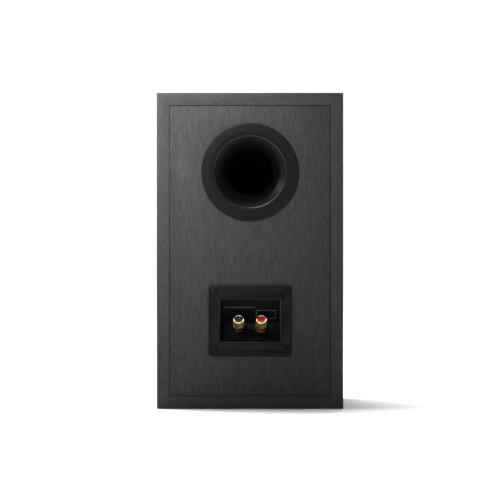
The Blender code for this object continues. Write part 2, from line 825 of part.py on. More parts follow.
def post_plug(label, finish):
    """A plastic plug: a head in the cap's mouth, and a pin down the stud's socket."""
    seat = MOUTH_FLOOR + SEAT
    pin = SOCKET_RADIUS - SLIP
    head = CAP_MOUTH_RADIUS - SLIP
    outline = [
        (0.0, seat + PLUG_HEAD),
        (head - PLUG_EDGE, seat + PLUG_HEAD),
        (head, seat + PLUG_HEAD - PLUG_EDGE),
        (head, seat),
        (pin, seat),
        (pin, SOCKET_FLOOR + SEAT + PLUG_EDGE),
        (0.0, SOCKET_FLOOR + SEAT),
    ]
    return turned(label + "_post_plug", outline, finish, SMALL_SIDES)


def post_nut(label):
    start = -CUP_WALL - SEAT - NUT_THICKNESS
    end = -CUP_WALL - SEAT
    hole = SHANK_RADIUS + SLIP
    outline = [(NUT_RADIUS, end), (NUT_RADIUS, start), (hole, start), (hole, end)]
    nut = turned(label + "_post_nut", outline, GOLD, 6)
    return nut


def binding_post(label, side, plastic):
    """One post's six parts, all on the post's own axis."""
    axis = post_axis(label, side)
    collar_hole = SHANK_RADIUS + SLIP
    collar = turned(
        label + "_post_collar",
        [
            (COLLAR_RADIUS - COLLAR_EDGE, SEAT + COLLAR_HEIGHT),
            (COLLAR_RADIUS, SEAT + COLLAR_HEIGHT - COLLAR_EDGE),
            (COLLAR_RADIUS, SEAT),
            (collar_hole, SEAT),
            (collar_hole, SEAT + COLLAR_HEIGHT),
        ],
        plastic,
        SMALL_SIDES,
    )
    clamp = washer(
        label + "_post_washer",
        BARREL_RADIUS + SLIP,
        WASHER_RADIUS,
        WASHER_START,
        WASHER_START + WASHER_THICKNESS,
        GOLD,
        SMALL_SIDES,
    )
    parts = [post_stud(label), collar, clamp, post_cap(label), post_plug(label, plastic), post_nut(label)]
    for part in parts:
        part.parent = axis


# Woofer


def basket_radius(depth):
    """The inside radius of the basket's tapered wall."""
    start = WOOFER_FLANGE + BASKET_WALL
    share = (depth - start) / (BASKET_DEPTH - BASKET_WALL - start)
    top = WOOFER_CUTOUT - BASKET_WALL - 2 * SLIP
    bottom = BASKET_BACK_RADIUS - BASKET_WALL
    return top + (bottom - top) * share


def flange_screw_holes(obj, label, height, circle, thickness):
    """Sunk screw holes through a driver's flange."""
    for number, (x, z) in enumerate(screw_places(circle), 1):
        hole = screw_hole(f"{label}_flange_cutter_{number}", thickness)
        cut(obj, facing(hole, height + z, BAFFLE_FACE, True, x))


def woofer_basket():
    """A flanged, tapered frame with six windows and a ledge for the spider."""
    ledge = SPIDER_DEPTH + SPIDER_THICKNESS / 2 + SPIDER_WAVE + SEAT
    at_ledge = basket_radius(ledge)
    bottom = BASKET_DEPTH - BASKET_WALL
    top = WOOFER_FLANGE + BASKET_WALL
    outer_top = WOOFER_CUTOUT - 2 * SLIP
    land = SURROUND_OUTER + SLIP
    inner = basket_radius(top)
    outline = [
        (land, 0.0),
        (WOOFER_RADIUS - FLANGE_EDGE, 0.0),
        (WOOFER_RADIUS, FLANGE_EDGE),
        (WOOFER_RADIUS, WOOFER_FLANGE),
        (outer_top, WOOFER_FLANGE),
        (outer_top, top),
        (BASKET_BACK_RADIUS, bottom),
        (BASKET_BACK_RADIUS, BASKET_DEPTH),
        (BASKET_BACK_HOLE, BASKET_DEPTH),
        (BASKET_BACK_HOLE, bottom),
        (BASKET_BACK_RADIUS - BASKET_WALL - SPIDER_LEDGE, bottom),
        (at_ledge - SPIDER_LEDGE, ledge),
        (at_ledge, ledge),
        (inner, top),
        (inner, SEAT + SURROUND_THICKNESS + SEAT),
        (land, SEAT + SURROUND_THICKNESS + SEAT),
    ]
    basket = turned("woofer_basket", outline, PAINTED_STEEL)
    facing(basket, WOOFER_HEIGHT, BAFFLE_FACE)
    for number in range(3):
        outline = rectangle((0.0, 0.0), 2 * (WOOFER_CUTOUT + OVERCUT), WINDOW_WIDTH)
        window = prism(
            f"window_cutter_{number}", outline, top + WINDOW_MARGIN, ledge - WINDOW_MARGIN, "Z"
        )
        window.rotation_euler = (math.radians(-90), math.radians(60 * number), 0.0)
        window.location = (0.0, BAFFLE_FACE, WOOFER_HEIGHT)
        cut(basket, window)
    flange_screw_holes(basket, "woofer", WOOFER_HEIGHT, WOOFER_SCREW_CIRCLE, WOOFER_FLANGE)


def band(middle, thickness):
    """A closed outline of even thickness about an open line of (radius, depth) points."""
    left = []
    right = []
    for i, point in enumerate(middle):
        before = Vector(middle[max(i - 1, 0)])
        after = Vector(middle[min(i + 1, len(middle) - 1)])
        way = (after - before).normalized()
        across = Vector((-way.y, way.x)) * thickness / 2
        left.append(tuple(Vector(point) + across))
        right.append(tuple(Vector(point) - across))
    return left + right[::-1]


def woofer_surround():
    """A rubber half roll between the flange's land and the cone's rim."""
    level = SEAT + SURROUND_THICKNESS / 2
    roll = arc((SURROUND_ROLL_CENTRE, level), (SURROUND_ROLL, -SURROUND_ROLL), 0, 180, 6)
    inner = CONE_RADIUS - CONE_LAND
    middle = [(SURROUND_OUTER, level), *roll, (inner, level)]
    surround = turned("woofer_surround", band(middle, SURROUND_THICKNESS), RUBBER)
    facing(surround, WOOFER_HEIGHT, BAFFLE_FACE)


def cone_line():
    """The middle of the cone's wall: a flat land at the rim, then a gentle curve to the neck."""
    level = SEAT + SURROUND_THICKNESS + SEAT + CONE_THICKNESS / 2
    inner = CONE_RADIUS - CONE_LAND
    neck = COIL_RADIUS + SLIP + CONE_THICKNESS / 2
    points = [(CONE_RADIUS - SLIP, level)]
    steps = 3
    for step in range(steps + 1):
        share = step / steps
        sag = CONE_SAG * math.sin(math.pi * share)
        radius = inner + (neck - inner) * share
        points.append((radius, level + CONE_DEPTH * share + sag))
    return points


def cone_depth(radius):
    """The depth of the cone's wall at a radius, on its middle line."""
    points = cone_line()
    for (outer, above), (inner, below) in zip(points, points[1:]):
        if inner <= radius <= outer:
            return above + (below - above) * (outer - radius) / (outer - inner)
    return points[-1][1]


def woofer_cone():
    cone = turned("woofer_cone", band(cone_line(), CONE_THICKNESS), CONE_PULP)
    facing(cone, WOOFER_HEIGHT, BAFFLE_FACE)


def woofer_dust_cap():
    """A shallow dome over the voice coil, glued to the cone."""
    rim = cone_depth(DUST_CAP_RADIUS) - CONE_THICKNESS - SEAT
    outer = arc((0.0, rim), (DUST_CAP_RADIUS, -DUST_CAP_HEIGHT), 90, 0, 4)
    inner_radius = DUST_CAP_RADIUS - DUST_CAP_THICKNESS
    inner_height = DUST_CAP_HEIGHT - DUST_CAP_THICKNESS
    inner = arc((0.0, rim), (inner_radius, -inner_height), 0, 90, 4)
    outline = on_axis(outer + inner)
    facing(turned("woofer_dust_cap", outline, CAP_SHEET, SMALL_SIDES), WOOFER_HEIGHT, BAFFLE_FACE)


def on_axis(outline):
    """The outline with its first and last points put exactly on the axis."""
    return [(0.0, outline[0][1]), *outline[1:-1], (0.0, outline[-1][1])]


def woofer_spider():
    """The waved cloth disc that centres the coil, from the former to the basket's ledge."""
    inner = COIL_RADIUS + SLIP
    outer = basket_radius(SPIDER_DEPTH) - 3 * SLIP
    folds = 2 * SPIDER_WAVES
    middle = []
    for fold in range(folds + 1):
        wave = SPIDER_WAVE * (-1) ** fold
        middle.append((outer + (inner - outer) * fold / folds, SPIDER_DEPTH + wave))
    spider = turned("woofer_spider", band(middle, SPIDER_THICKNESS), SPIDER_CLOTH)
    facing(spider, WOOFER_HEIGHT, BAFFLE_FACE)


def woofer_motor():
    """The voice coil, and the plate, magnet and yoke that it moves in."""
    start = cone_line()[-1][1]
    inner = COIL_RADIUS - COIL_THICKNESS
    winding = COIL_RADIUS + COIL_WINDING
    plate = BASKET_DEPTH + SEAT
    wound = plate - COIL_LEAD_IN
    coil = turned(
        "woofer_voice_coil",
        [
            (COIL_RADIUS, start),
            (COIL_RADIUS, wound),
            (winding, wound),
            (winding, COIL_END),
            (inner, COIL_END),
            (inner, start),
        ],
        COPPER,
        SMALL_SIDES,
    )
    gap = winding + GAP_CLEARANCE
    magnet = plate + WOOFER_PLATE + SEAT
    yoke = magnet + WOOFER_MAGNET + SEAT
    top_plate = washer(
        "woofer_top_plate", gap, WOOFER_PLATE_RADIUS, plate, plate + WOOFER_PLATE, STEEL
    )
    ferrite = washer(
        "woofer_magnet", MAGNET_HOLE, WOOFER_MAGNET_RADIUS, magnet, magnet + WOOFER_MAGNET, FERRITE
    )
    pole = inner - GAP_CLEARANCE
    outline = [
        (0.0, plate),
        (pole, plate),
        (pole, yoke),
        (WOOFER_PLATE_RADIUS, yoke),
        (WOOFER_PLATE_RADIUS, yoke + WOOFER_PLATE),
        (0.0, yoke + WOOFER_PLATE),
    ]
    for part in (coil, top_plate, ferrite, turned("woofer_yoke", outline, STEEL)):
        facing(part, WOOFER_HEIGHT, BAFFLE_FACE)


def driver_screws(label, height, circle):
    for number, (x, z) in enumerate(screw_places(circle), 1):
        made = screw(f"{label}_screw_{number}", SCREW_LENGTH, BLACK_STEEL)
        made.location = (x, BAFFLE_FACE + SCREW_HEAD_HEIGHT, height + z)
        made.rotation_euler = (math.radians(90), 0.0, 0.0)


# Tweeter


def tweeter_faceplate():
    """A round plate with a shallow horn in front of the dome."""
    horn = arc((HORN_RADIUS, HORN_DEPTH), (HORN_THROAT - HORN_RADIUS, -HORN_DEPTH), 90, 0, 3)
    outline = [
        *horn,
        (HORN_THROAT, TWEETER_BOSS),
        (TWEETER_BOSS_RADIUS, TWEETER_BOSS),
        (TWEETER_BOSS_RADIUS, TWEETER_FLANGE),
        (TWEETER_RADIUS, TWEETER_FLANGE),
        (TWEETER_RADIUS, FLANGE_EDGE),
        (TWEETER_RADIUS - FLANGE_EDGE, 0.0),
    ]
    plate = turned("tweeter_faceplate", outline, BLACK_PLASTIC)
    facing(plate, TWEETER_HEIGHT, BAFFLE_FACE)
    flange_screw_holes(plate, "tweeter", TWEETER_HEIGHT, TWEETER_SCREW_CIRCLE, TWEETER_FLANGE)


def tweeter_dome():
    """A silk dome and its small half roll, formed from one sheet."""
    dome = arc((0.0, DOME_SEAT_DEPTH), (DOME_RADIUS, -DOME_HEIGHT), 90, 0, 4)
    middle_of_roll = DOME_RADIUS + DOME_ROLL + DOME_THICKNESS
    roll = arc((middle_of_roll, DOME_SEAT_DEPTH), (-DOME_ROLL, -DOME_ROLL), 0, 180, 4)
    line = dome + roll[1:]
    outline = band(line, DOME_THICKNESS)
    outline = on_axis(outline)
    facing(turned("tweeter_dome", outline, SILK), TWEETER_HEIGHT, BAFFLE_FACE)


def tweeter_motor():
    """The voice coil, and the plate, magnet and yoke behind the dome."""
    outer = TWEETER_COIL_RADIUS
    inner = outer - COIL_THICKNESS
    plate = TWEETER_PLATE_DEPTH
    coil_start = DOME_SEAT_DEPTH + DOME_THICKNESS / 2 + SEAT
    coil = washer("tweeter_voice_coil", inner, outer, coil_start, TWEETER_COIL_END, COPPER, SMALL_SIDES)
    magnet = plate + TWEETER_PLATE + SEAT
    yoke = magnet + TWEETER_MAGNET + SEAT
    top_plate = washer(
        "tweeter_top_plate",
        outer + GAP_CLEARANCE,
        TWEETER_PLATE_RADIUS,
        plate,
        plate + TWEETER_PLATE,
        STEEL,
    )
    ferrite = washer(
        "tweeter_magnet",
        TWEETER_MAGNET_HOLE,
        TWEETER_MAGNET_RADIUS,
        magnet,
        magnet + TWEETER_MAGNET,
        FERRITE,
    )
    pole = inner - GAP_CLEARANCE
    outline = [
        (0.0, plate),
        (pole, plate),
        (pole, yoke),
        (TWEETER_PLATE_RADIUS, yoke),
        (TWEETER_PLATE_RADIUS, yoke + TWEETER_PLATE),
        (0.0, yoke + TWEETER_PLATE),
    ]
    for part in (coil, top_plate, ferrite, turned("tweeter_yoke", outline, STEEL)):
        facing(part, TWEETER_HEIGHT, BAFFLE_FACE)


# Crossover and internal leads


def capacitor(name, size, across, along, top):
    """A round film capacitor, lying on the board along X."""
    radius, length = size
    outline = [
        (0.0, length / 2),
        (radius - CAPACITOR_EDGE, length / 2),
        (radius, length / 2 - CAPACITOR_EDGE),
        (radius, CAPACITOR_EDGE - length / 2),
        (radius - CAPACITOR_EDGE, -length / 2),
        (0.0, -length / 2),
    ]
    body = turned(name, outline, FILM_SLEEVE, SMALL_SIDES)
    body.rotation_euler = (0.0, math.radians(90), 0.0)
    body.location = (across, along, top + radius)


def crossover():
    """The filter board on the cabinet's floor: a coil in each rear corner, and two capacitors."""
    floor = BOARD + SEAT
    top = floor + CROSSOVER_THICKNESS
    outline = rectangle(
        (0.0, CROSSOVER_Y), CROSSOVER_WIDTH, CROSSOVER_LENGTH, CROSSOVER_CORNER, 2
    )
    prism("crossover_board", outline, floor, top, "Z", CIRCUIT_BOARD)
    right = CROSSOVER_WIDTH / 2 - CROSSOVER_MARGIN
    rear = CROSSOVER_Y + CROSSOVER_LENGTH / 2 - CROSSOVER_MARGIN
    front = CROSSOVER_Y - CROSSOVER_LENGTH / 2 + CROSSOVER_MARGIN
    for name, size, side in (
        ("woofer_inductor", WOOFER_INDUCTOR, -1),
        ("tweeter_inductor", TWEETER_INDUCTOR, 1),
    ):
        hole, radius, height = size
        coil = washer(name, hole, radius, 0.0, height, COPPER, SMALL_SIDES)
        coil.location = (side * (right - radius), rear - radius, top + SEAT)
    radius, length = WOOFER_CAPACITOR
    capacitor("woofer_capacitor", WOOFER_CAPACITOR, length / 2 - right, front + radius, top + SEAT)
    radius, length = TWEETER_CAPACITOR
    along = front + CONNECTOR.y + 3 * radius
    capacitor("tweeter_capacitor", TWEETER_CAPACITOR, right - length / 2, along, top + SEAT)


def smooth_route(points, per_span=3):
    """Points on a smooth curve through a route's own points."""
    ends = [2 * points[0] - points[1], *points, 2 * points[-1] - points[-2]]
    found = []
    for a, b, c, d in zip(ends, ends[1:], ends[2:], ends[3:]):
        for step in range(per_span):
            t = step / per_span
            found.append(
                0.5
                * (
                    2 * b
                    + (c - a) * t
                    + (2 * a - 5 * b + 4 * c - d) * t * t
                    + (3 * b - a - 3 * c + d) * t * t * t
                )
            )
    return [*found, points[-1]]


def wire(name, route):
    """A closed tube along a route, as a helper mesh."""
    curve = bpy.data.curves.new(name, "CURVE")
    curve.dimensions = "3D"
    curve.bevel_depth = LEAD_RADIUS
    curve.bevel_resolution = 1
    curve.use_fill_caps = True
    points = smooth_route(route)
    spline = curve.splines.new("POLY")
    spline.points.add(len(points) - 1)
    for target, point in zip(spline.points, points):
        target.co = (*point, 1.0)
    guide = bpy.data.objects.new(name + "_guide", curve)
    shape = bmesh.new()
    tube = bpy.data.meshes.new_from_object(guide)
    shape.from_mesh(tube)
    bmesh.ops.remove_doubles(shape, verts=shape.verts, dist=MERGE)
    bpy.data.objects.remove(guide)
    return object_from(shape, name)


def lead(name, foot, ends, way):
    """A twin lead: a plug on the crossover board, and two wires that part to their ends.

    way holds the points that the pair passes between the plug and the ends.
    """
    top = BOARD + SEAT + CROSSOVER_THICKNESS + SEAT
    outline = rectangle((foot[0], foot[1]), CONNECTOR.x, CONNECTOR.y)
    body = prism(name, outline, top, top + CONNECTOR.z, "Z", LEAD_SLEEVE)
    for side, end in zip((-1, 1), ends):
        aside = Vector((side * LEAD_SPACING / 2, 0.0, 0.0))
        start = Vector((foot[0], foot[1], top + CONNECTOR.z / 2)) + aside
        above = start + Vector((0.0, 0.0, CONNECTOR.z))
        route = [start, above, *(point + aside for point in way), end]
        unite(body, wire(f"{name}_wire_{side + 1}", route))


def input_lead():
    """From the posts' tails to the board's rear edge."""
    edge = CROSSOVER_Y + CROSSOVER_LENGTH / 2 - CONNECTOR_INSET
    depth = PLATE_LEDGE + POST_RISE * math.tan(PLATE_TILT)
    back = SHANK_TAIL + 3 * SEAT
    tail_y = CUP_FACE - depth - back * math.cos(PLATE_TILT)
    tail_z = POCKET_LOW + POST_RISE - back * math.sin(PLATE_TILT)
    tails = [Vector((side * POST_SPACING / 2, tail_y, tail_z)) for side in (-1, 1)]
    foot = BOARD + CROSSOVER_THICKNESS
    way = [Vector((0.0, edge + LEAD_GAP, (2 * foot + tail_z) / 3))]
    lead("input_lead", (0.0, edge), tails, way)


def woofer_lead():
    """From the board's front edge to two tags under the woofer's basket."""
    edge = CROSSOVER_Y - CROSSOVER_LENGTH / 2 + CONNECTOR_INSET
    y = BAFFLE_FACE + WOOFER_TAG_DEPTH
    z = WOOFER_HEIGHT - basket_radius(WOOFER_TAG_DEPTH) - BASKET_WALL - LEAD_GAP
    low = z - 2 * CONNECTOR.z
    way = [
        Vector((WOOFER_TAG_ACROSS / 2, (2 * edge + y) / 3, low)),
        Vector((WOOFER_TAG_ACROSS, (edge + 2 * y) / 3, low)),
    ]
    ends = [Vector((WOOFER_TAG_ACROSS + side * WOOFER_TAG_SPREAD, y, z)) for side in (-1, 1)]
    lead("woofer_lead", (0.0, edge), ends, way)


def tweeter_lead():
    """From the board's front right corner, up through the brace's window, to the tweeter."""
    depth = TWEETER_PLATE_DEPTH + 2 * TWEETER_PLATE + TWEETER_MAGNET
    y = BAFFLE_FACE + depth + LEAD_GAP
    z = TWEETER_HEIGHT + TWEETER_TAG_UP
    foot_x = CROSSOVER_WIDTH / 2 - 2 * CONNECTOR_INSET
    foot_y = CROSSOVER_Y - CROSSOVER_LENGTH / 2 + CONNECTOR_INSET
    window_x = INSIDE_HALF_WIDTH - BRACE_RIM - BRACE_CORNER
    middle_y = (BAFFLE_BACK + REAR_BACK) / 2
    way = [
        Vector((window_x, middle_y, (BOARD + BRACE_HEIGHT) / 2)),
        Vector((window_x, middle_y, BRACE_HEIGHT)),
        Vector((window_x / 2, (2 * y + middle_y) / 3, (BRACE_HEIGHT + z) / 2)),
    ]
    ends = [Vector((side * TWEETER_TAG_SPREAD, y, z)) for side in (-1, 1)]
    lead("tweeter_lead", (foot_x, foot_y), ends, way)


def main():
    clear_scene()
    cabinet_boards()
    front_baffle()
    rear_panel()
    cabinet_brace()
    damping_foam()
    port_trim_ring()
    port_flare()
    port_tube()
    terminal_cup()
    terminal_gasket()
    terminal_screws()
    binding_post("red", -1, RED_PLASTIC)
    binding_post("black", 1, BLACK_PLASTIC)
    woofer_basket()
    woofer_surround()
    woofer_cone()
    woofer_dust_cap()
    woofer_spider()
    woofer_motor()
    driver_screws("woofer", WOOFER_HEIGHT, WOOFER_SCREW_CIRCLE)
    tweeter_faceplate()
    tweeter_dome()
    tweeter_motor()
    driver_screws("tweeter", TWEETER_HEIGHT, TWEETER_SCREW_CIRCLE)
    crossover()
    input_lead()
    woofer_lead()
    tweeter_lead()


main()
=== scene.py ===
# %% [markdown]
# # A two-way bookshelf loudspeaker, seen from behind
#
# A bookshelf loudspeaker is a wooden box that holds two drivers, a vent and a pair of terminals. The
# sizes and the places of its parts are fixed already, in a plain model that this file loads first.
# The file's own job is looks: each part that shows is made again here with round edges, threads and
# knurling, and each surface gets a finish built from nodes.
#
# The chapters are: the camera, a few helpers, the finishes, the cabinet, the port, the terminal cup
# with its screws and posts, the two drivers, the parts that are shut inside the box, and last the
# stage and its lamps.

# %% Load the plain model
import json
import math

import bpy
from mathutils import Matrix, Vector
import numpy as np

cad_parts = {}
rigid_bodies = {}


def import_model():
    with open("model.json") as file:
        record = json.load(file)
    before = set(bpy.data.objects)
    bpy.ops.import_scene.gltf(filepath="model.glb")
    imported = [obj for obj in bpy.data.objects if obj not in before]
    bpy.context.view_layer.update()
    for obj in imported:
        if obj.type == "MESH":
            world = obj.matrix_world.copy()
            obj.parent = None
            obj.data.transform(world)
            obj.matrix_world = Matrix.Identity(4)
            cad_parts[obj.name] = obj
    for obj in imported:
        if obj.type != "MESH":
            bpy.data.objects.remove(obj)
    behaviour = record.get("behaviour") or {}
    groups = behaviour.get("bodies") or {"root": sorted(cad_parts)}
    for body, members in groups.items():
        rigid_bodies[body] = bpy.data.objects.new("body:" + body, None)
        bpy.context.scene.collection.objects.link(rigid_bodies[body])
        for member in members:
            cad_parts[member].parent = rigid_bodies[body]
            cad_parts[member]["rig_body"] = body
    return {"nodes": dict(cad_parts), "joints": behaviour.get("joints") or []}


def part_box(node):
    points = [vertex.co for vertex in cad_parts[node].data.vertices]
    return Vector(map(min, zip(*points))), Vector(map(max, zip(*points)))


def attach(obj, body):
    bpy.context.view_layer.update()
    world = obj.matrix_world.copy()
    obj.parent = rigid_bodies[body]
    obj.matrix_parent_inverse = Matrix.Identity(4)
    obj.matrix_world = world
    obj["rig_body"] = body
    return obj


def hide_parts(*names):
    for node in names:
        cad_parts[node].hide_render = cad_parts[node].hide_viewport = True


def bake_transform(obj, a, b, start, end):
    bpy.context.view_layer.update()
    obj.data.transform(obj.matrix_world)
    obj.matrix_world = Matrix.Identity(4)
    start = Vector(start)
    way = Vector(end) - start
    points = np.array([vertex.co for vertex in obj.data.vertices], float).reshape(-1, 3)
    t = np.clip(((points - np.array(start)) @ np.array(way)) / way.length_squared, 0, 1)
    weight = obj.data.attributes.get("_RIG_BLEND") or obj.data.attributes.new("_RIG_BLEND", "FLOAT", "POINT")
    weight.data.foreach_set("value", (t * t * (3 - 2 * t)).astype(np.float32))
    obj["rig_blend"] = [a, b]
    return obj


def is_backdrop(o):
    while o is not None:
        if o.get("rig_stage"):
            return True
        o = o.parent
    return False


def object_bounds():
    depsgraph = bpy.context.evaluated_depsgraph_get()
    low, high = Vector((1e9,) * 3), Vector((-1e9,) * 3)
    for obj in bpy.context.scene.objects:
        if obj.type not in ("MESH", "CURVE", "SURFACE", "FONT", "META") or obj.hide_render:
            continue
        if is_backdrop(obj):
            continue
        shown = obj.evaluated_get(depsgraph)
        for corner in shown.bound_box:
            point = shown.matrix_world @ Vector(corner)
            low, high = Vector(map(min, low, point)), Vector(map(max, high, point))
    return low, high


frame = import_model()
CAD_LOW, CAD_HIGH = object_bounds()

print("plain parts:", len(frame["nodes"]), "box:", [round(x, 4) for x in CAD_HIGH - CAD_LOW])

# %% [markdown]
# ## The camera
#
# A product view like this one is taken from far away through a long lens, so that no side of the box
# shows and its edges stay parallel. The camera stands three metres behind the cabinet, a hair above
# its middle, and looks straight at the rear. The rear is the side that faces +Y.

# %% The camera behind the cabinet
CAMERA_DISTANCE = 3.0
CAMERA_HEIGHT = 0.1533
VIEW_WIDTH = 0.4822  # how much of the rear panel's plane the picture spans
SENSOR = 36.0

rear_plane = CAD_HIGH.y
lens = SENSOR * CAMERA_DISTANCE / VIEW_WIDTH
bpy.ops.object.camera_add(
    location=(0.0, rear_plane + CAMERA_DISTANCE, CAMERA_HEIGHT),
    rotation=(math.radians(90), 0.0, math.radians(180)),
)
camera = bpy.context.object
camera.name = "rear_camera"
camera.data.sensor_width = SENSOR
camera.data.lens = lens
camera.data.clip_end = 50.0
bpy.context.scene.camera = camera
bpy.context.scene.view_settings.view_transform = "Standard"
print("lens:", round(lens, 1), "mm")

# %% [markdown]
# ## Small helpers
#
# Blender's operators act on whatever is selected, so each step starts from an empty selection and
# then picks one object. These helpers are the moves that a modeller makes by hand all day: take one
# object, apply a modifier, apply the object's place, cut one shape with another. A modifier could also
# stay live, but an applied one leaves a plain mesh that the next step can select and reshape.


# %% Selection and modifiers
def alone(obj):
    """Selects one object and nothing else."""
    if bpy.context.mode != "OBJECT":
        bpy.ops.object.mode_set(mode="OBJECT")
    bpy.ops.object.select_all(action="DESELECT")
    obj.select_set(True)
    bpy.context.view_layer.objects.active = obj
    return obj


def nothing():
    """Leaves object mode with nothing selected."""
    if bpy.context.mode != "OBJECT":
        bpy.ops.object.mode_set(mode="OBJECT")
    bpy.ops.object.select_all(action="DESELECT")


def nothing_picked(obj, kind):
    """Clears the mesh's own selection, and leaves edit mode set to pick VERT, EDGE or FACE."""
    alone(obj)
    bpy.ops.object.mode_set(mode="EDIT")
    bpy.ops.mesh.select_mode(type=kind)
    bpy.ops.mesh.select_all(action="DESELECT")
    bpy.ops.object.mode_set(mode="OBJECT")


def settle(obj):
    """Moves the object's place, turn and size into its mesh."""
    alone(obj)
    bpy.ops.object.transform_apply(location=True, rotation=True, scale=True)
    return obj


def modify(obj, kind, **settings):
    """Adds a modifier and applies it at once."""
    alone(obj)
    step = obj.modifiers.new(kind.title(), kind)
    for name, value in settings.items():
        setattr(step, name, value)
    bpy.ops.object.modifier_apply(modifier=step.name)
    return obj


def cut(obj, *cutters):
    """Takes the cutters' shapes out of the object."""
    for cutter in cutters:
        modify(obj, "BOOLEAN", operation="DIFFERENCE", solver="EXACT", object=cutter)
        bpy.data.objects.remove(cutter)
    return obj


def unite(obj, *others):
    """Joins the others' shapes to the object as one closed body."""
    for other in others:
        modify(obj, "BOOLEAN", operation="UNION", solver="EXACT", object=other)
        bpy.data.objects.remove(other)
    return obj


def soften(obj, width, segments=2, angle=30):
    """Rounds every edge that is sharper than the angle, and shades the result."""
    modify(
        obj,
        "BEVEL",
        width=width,
        segments=segments,
        limit_method="ANGLE",
        angle_limit=math.radians(angle),
        use_clamp_overlap=True,
    )
    return shade(obj)


def shade(obj, angle=32):
    """Smooth shading, with a crease wherever two faces meet at more than the angle."""
    alone(obj)
    bpy.ops.object.shade_smooth_by_angle(angle=math.radians(angle))
    return obj


# %% [markdown]
# ### Turned parts
#
# Rings, cups, cones and pins all come off a lathe or out of a round mould. Drawing half of the
# section once and spinning it round an axis gives a cleaner mesh than any cylinder that is cut to
# shape later. The section starts as one point, and each extrude draws the next line of it.

# %% Spin a section round an axis
ROUND = 144  # steps round a large part
SMALL_ROUND = 64
WELD = 0.000002  # points closer than this are one point


def line_through(name, places):
    """Draws an open line from point to point, and stays in edit mode."""
    nothing()
    bpy.ops.mesh.primitive_plane_add(size=0.001)
    obj = bpy.context.object
    obj.name = name
    bpy.ops.object.mode_set(mode="EDIT")
    bpy.ops.mesh.select_mode(type="VERT")
    bpy.ops.mesh.select_all(action="SELECT")
    bpy.ops.mesh.merge(type="CENTER")
    bpy.ops.transform.translate(value=places[0])
    for before, after in zip(places, places[1:]):
        step = [b - a for a, b in zip(before, after)]
        bpy.ops.mesh.extrude_region_move(TRANSFORM_OT_translate={"value": step})
    return obj


def turned(name, outline, steps=ROUND):
    """Spins (radius, height) points round the Z axis. A section off the axis closes on itself."""
    obj = line_through(name, [(radius, 0.0, height) for radius, height in outline])
    bpy.ops.object.mode_set(mode="OBJECT")
    points = obj.data.vertices
    if outline[0][0] > WELD:
        for point in points:
            point.select = point.index in (0, len(points) - 1)
        bpy.ops.object.mode_set(mode="EDIT")
        bpy.ops.mesh.edge_face_add()
    bpy.ops.object.mode_set(mode="EDIT")
    bpy.ops.mesh.select_all(action="SELECT")
    bpy.ops.mesh.spin(steps=steps, angle=math.tau, center=(0.0, 0.0, 0.0), axis=(0.0, 0.0, 1.0))
    bpy.ops.mesh.select_all(action="SELECT")
    bpy.ops.mesh.remove_doubles(threshold=WELD)
    bpy.ops.mesh.normals_make_consistent(inside=False)
    bpy.ops.object.mode_set(mode="OBJECT")
    return obj


def arc(centre, radii, start, end, steps):
    """Points along an ellipse, from one angle to another in degrees."""
    found = []
    for step in range(steps + 1):
        angle = math.radians(start + (end - start) * step / steps)
        found.append((centre[0] + radii[0] * math.cos(angle), centre[1] + radii[1] * math.sin(angle)))
    return found


def stand(obj, place, tilt):
    """Tips a turned part about the X axis by an angle in degrees, and puts it in its place."""
    obj.rotation_euler = (math.radians(tilt), 0.0, 0.0)
    obj.location = place
    return settle(obj)


# %% [markdown]
# ### Blocks and plates
#
# A board or a panel is a cube that is scaled to its two corners. A plate with an odd outline is a
# flat face drawn from points and then extruded, as a router would cut it out of a sheet. Edges are
# picked by a test on their two ends, since code has no mouse to click them with.


# %% Cubes, rods, drawn solids and picked edges
def block(name, low, high):
    """A cuboid between two corners."""
    nothing()
    low = Vector(low)
    high = Vector(high)
    bpy.ops.mesh.primitive_cube_add(size=1.0, location=(low + high) / 2)
    obj = bpy.context.object
    obj.name = name
    obj.scale = high - low
    return settle(obj)


def rod(name, radius, start, end, sides=SMALL_ROUND):
    """A cylinder on the Z axis."""
    nothing()
    bpy.ops.mesh.primitive_cylinder_add(
        vertices=sides, radius=radius, depth=end - start, location=(0.0, 0.0, (start + end) / 2)
    )
    obj = bpy.context.object
    obj.name = name
    return settle(obj)


def drawn(name, outline, start, end):
    """Fills an outline of (y, z) points and pulls it along X from start to end."""
    obj = line_through(name, [(start, y, z) for y, z in outline])
    bpy.ops.mesh.select_all(action="SELECT")
    bpy.ops.mesh.edge_face_add()
    bpy.ops.mesh.extrude_region_move(TRANSFORM_OT_translate={"value": (end - start, 0.0, 0.0)})
    bpy.ops.mesh.select_all(action="SELECT")
    bpy.ops.mesh.normals_make_consistent(inside=False)
    bpy.ops.object.mode_set(mode="OBJECT")
    return obj


def pick_edges(obj, chosen):
    """Selects the edges whose two ends pass a test, and enters edit mode."""
    nothing_picked(obj, "EDGE")
    points = obj.data.vertices
    for edge in obj.data.edges:
        a, b = (points[i].co for i in edge.vertices)
        edge.select = chosen(a, b)
    bpy.ops.object.mode_set(mode="EDIT")


def round_edges(obj, chosen, width, segments):
    """Bevels only the edges that pass a test."""
    pick_edges(obj, chosen)
    bpy.ops.mesh.bevel(offset=width, segments=segments, affect="EDGES", clamp_overlap=True)
    bpy.ops.object.mode_set(mode="OBJECT")
    return obj


def duplicate(obj, name):
    """A copy with its own mesh."""
    alone(obj)
    bpy.ops.object.duplicate(linked=False)
    copy = bpy.context.object
    copy.name = name
    return copy


def four(across, up):
    """The four corners of a rectangle about zero."""
    return [(x, z) for x in (-across, across) for z in (-up, up)]


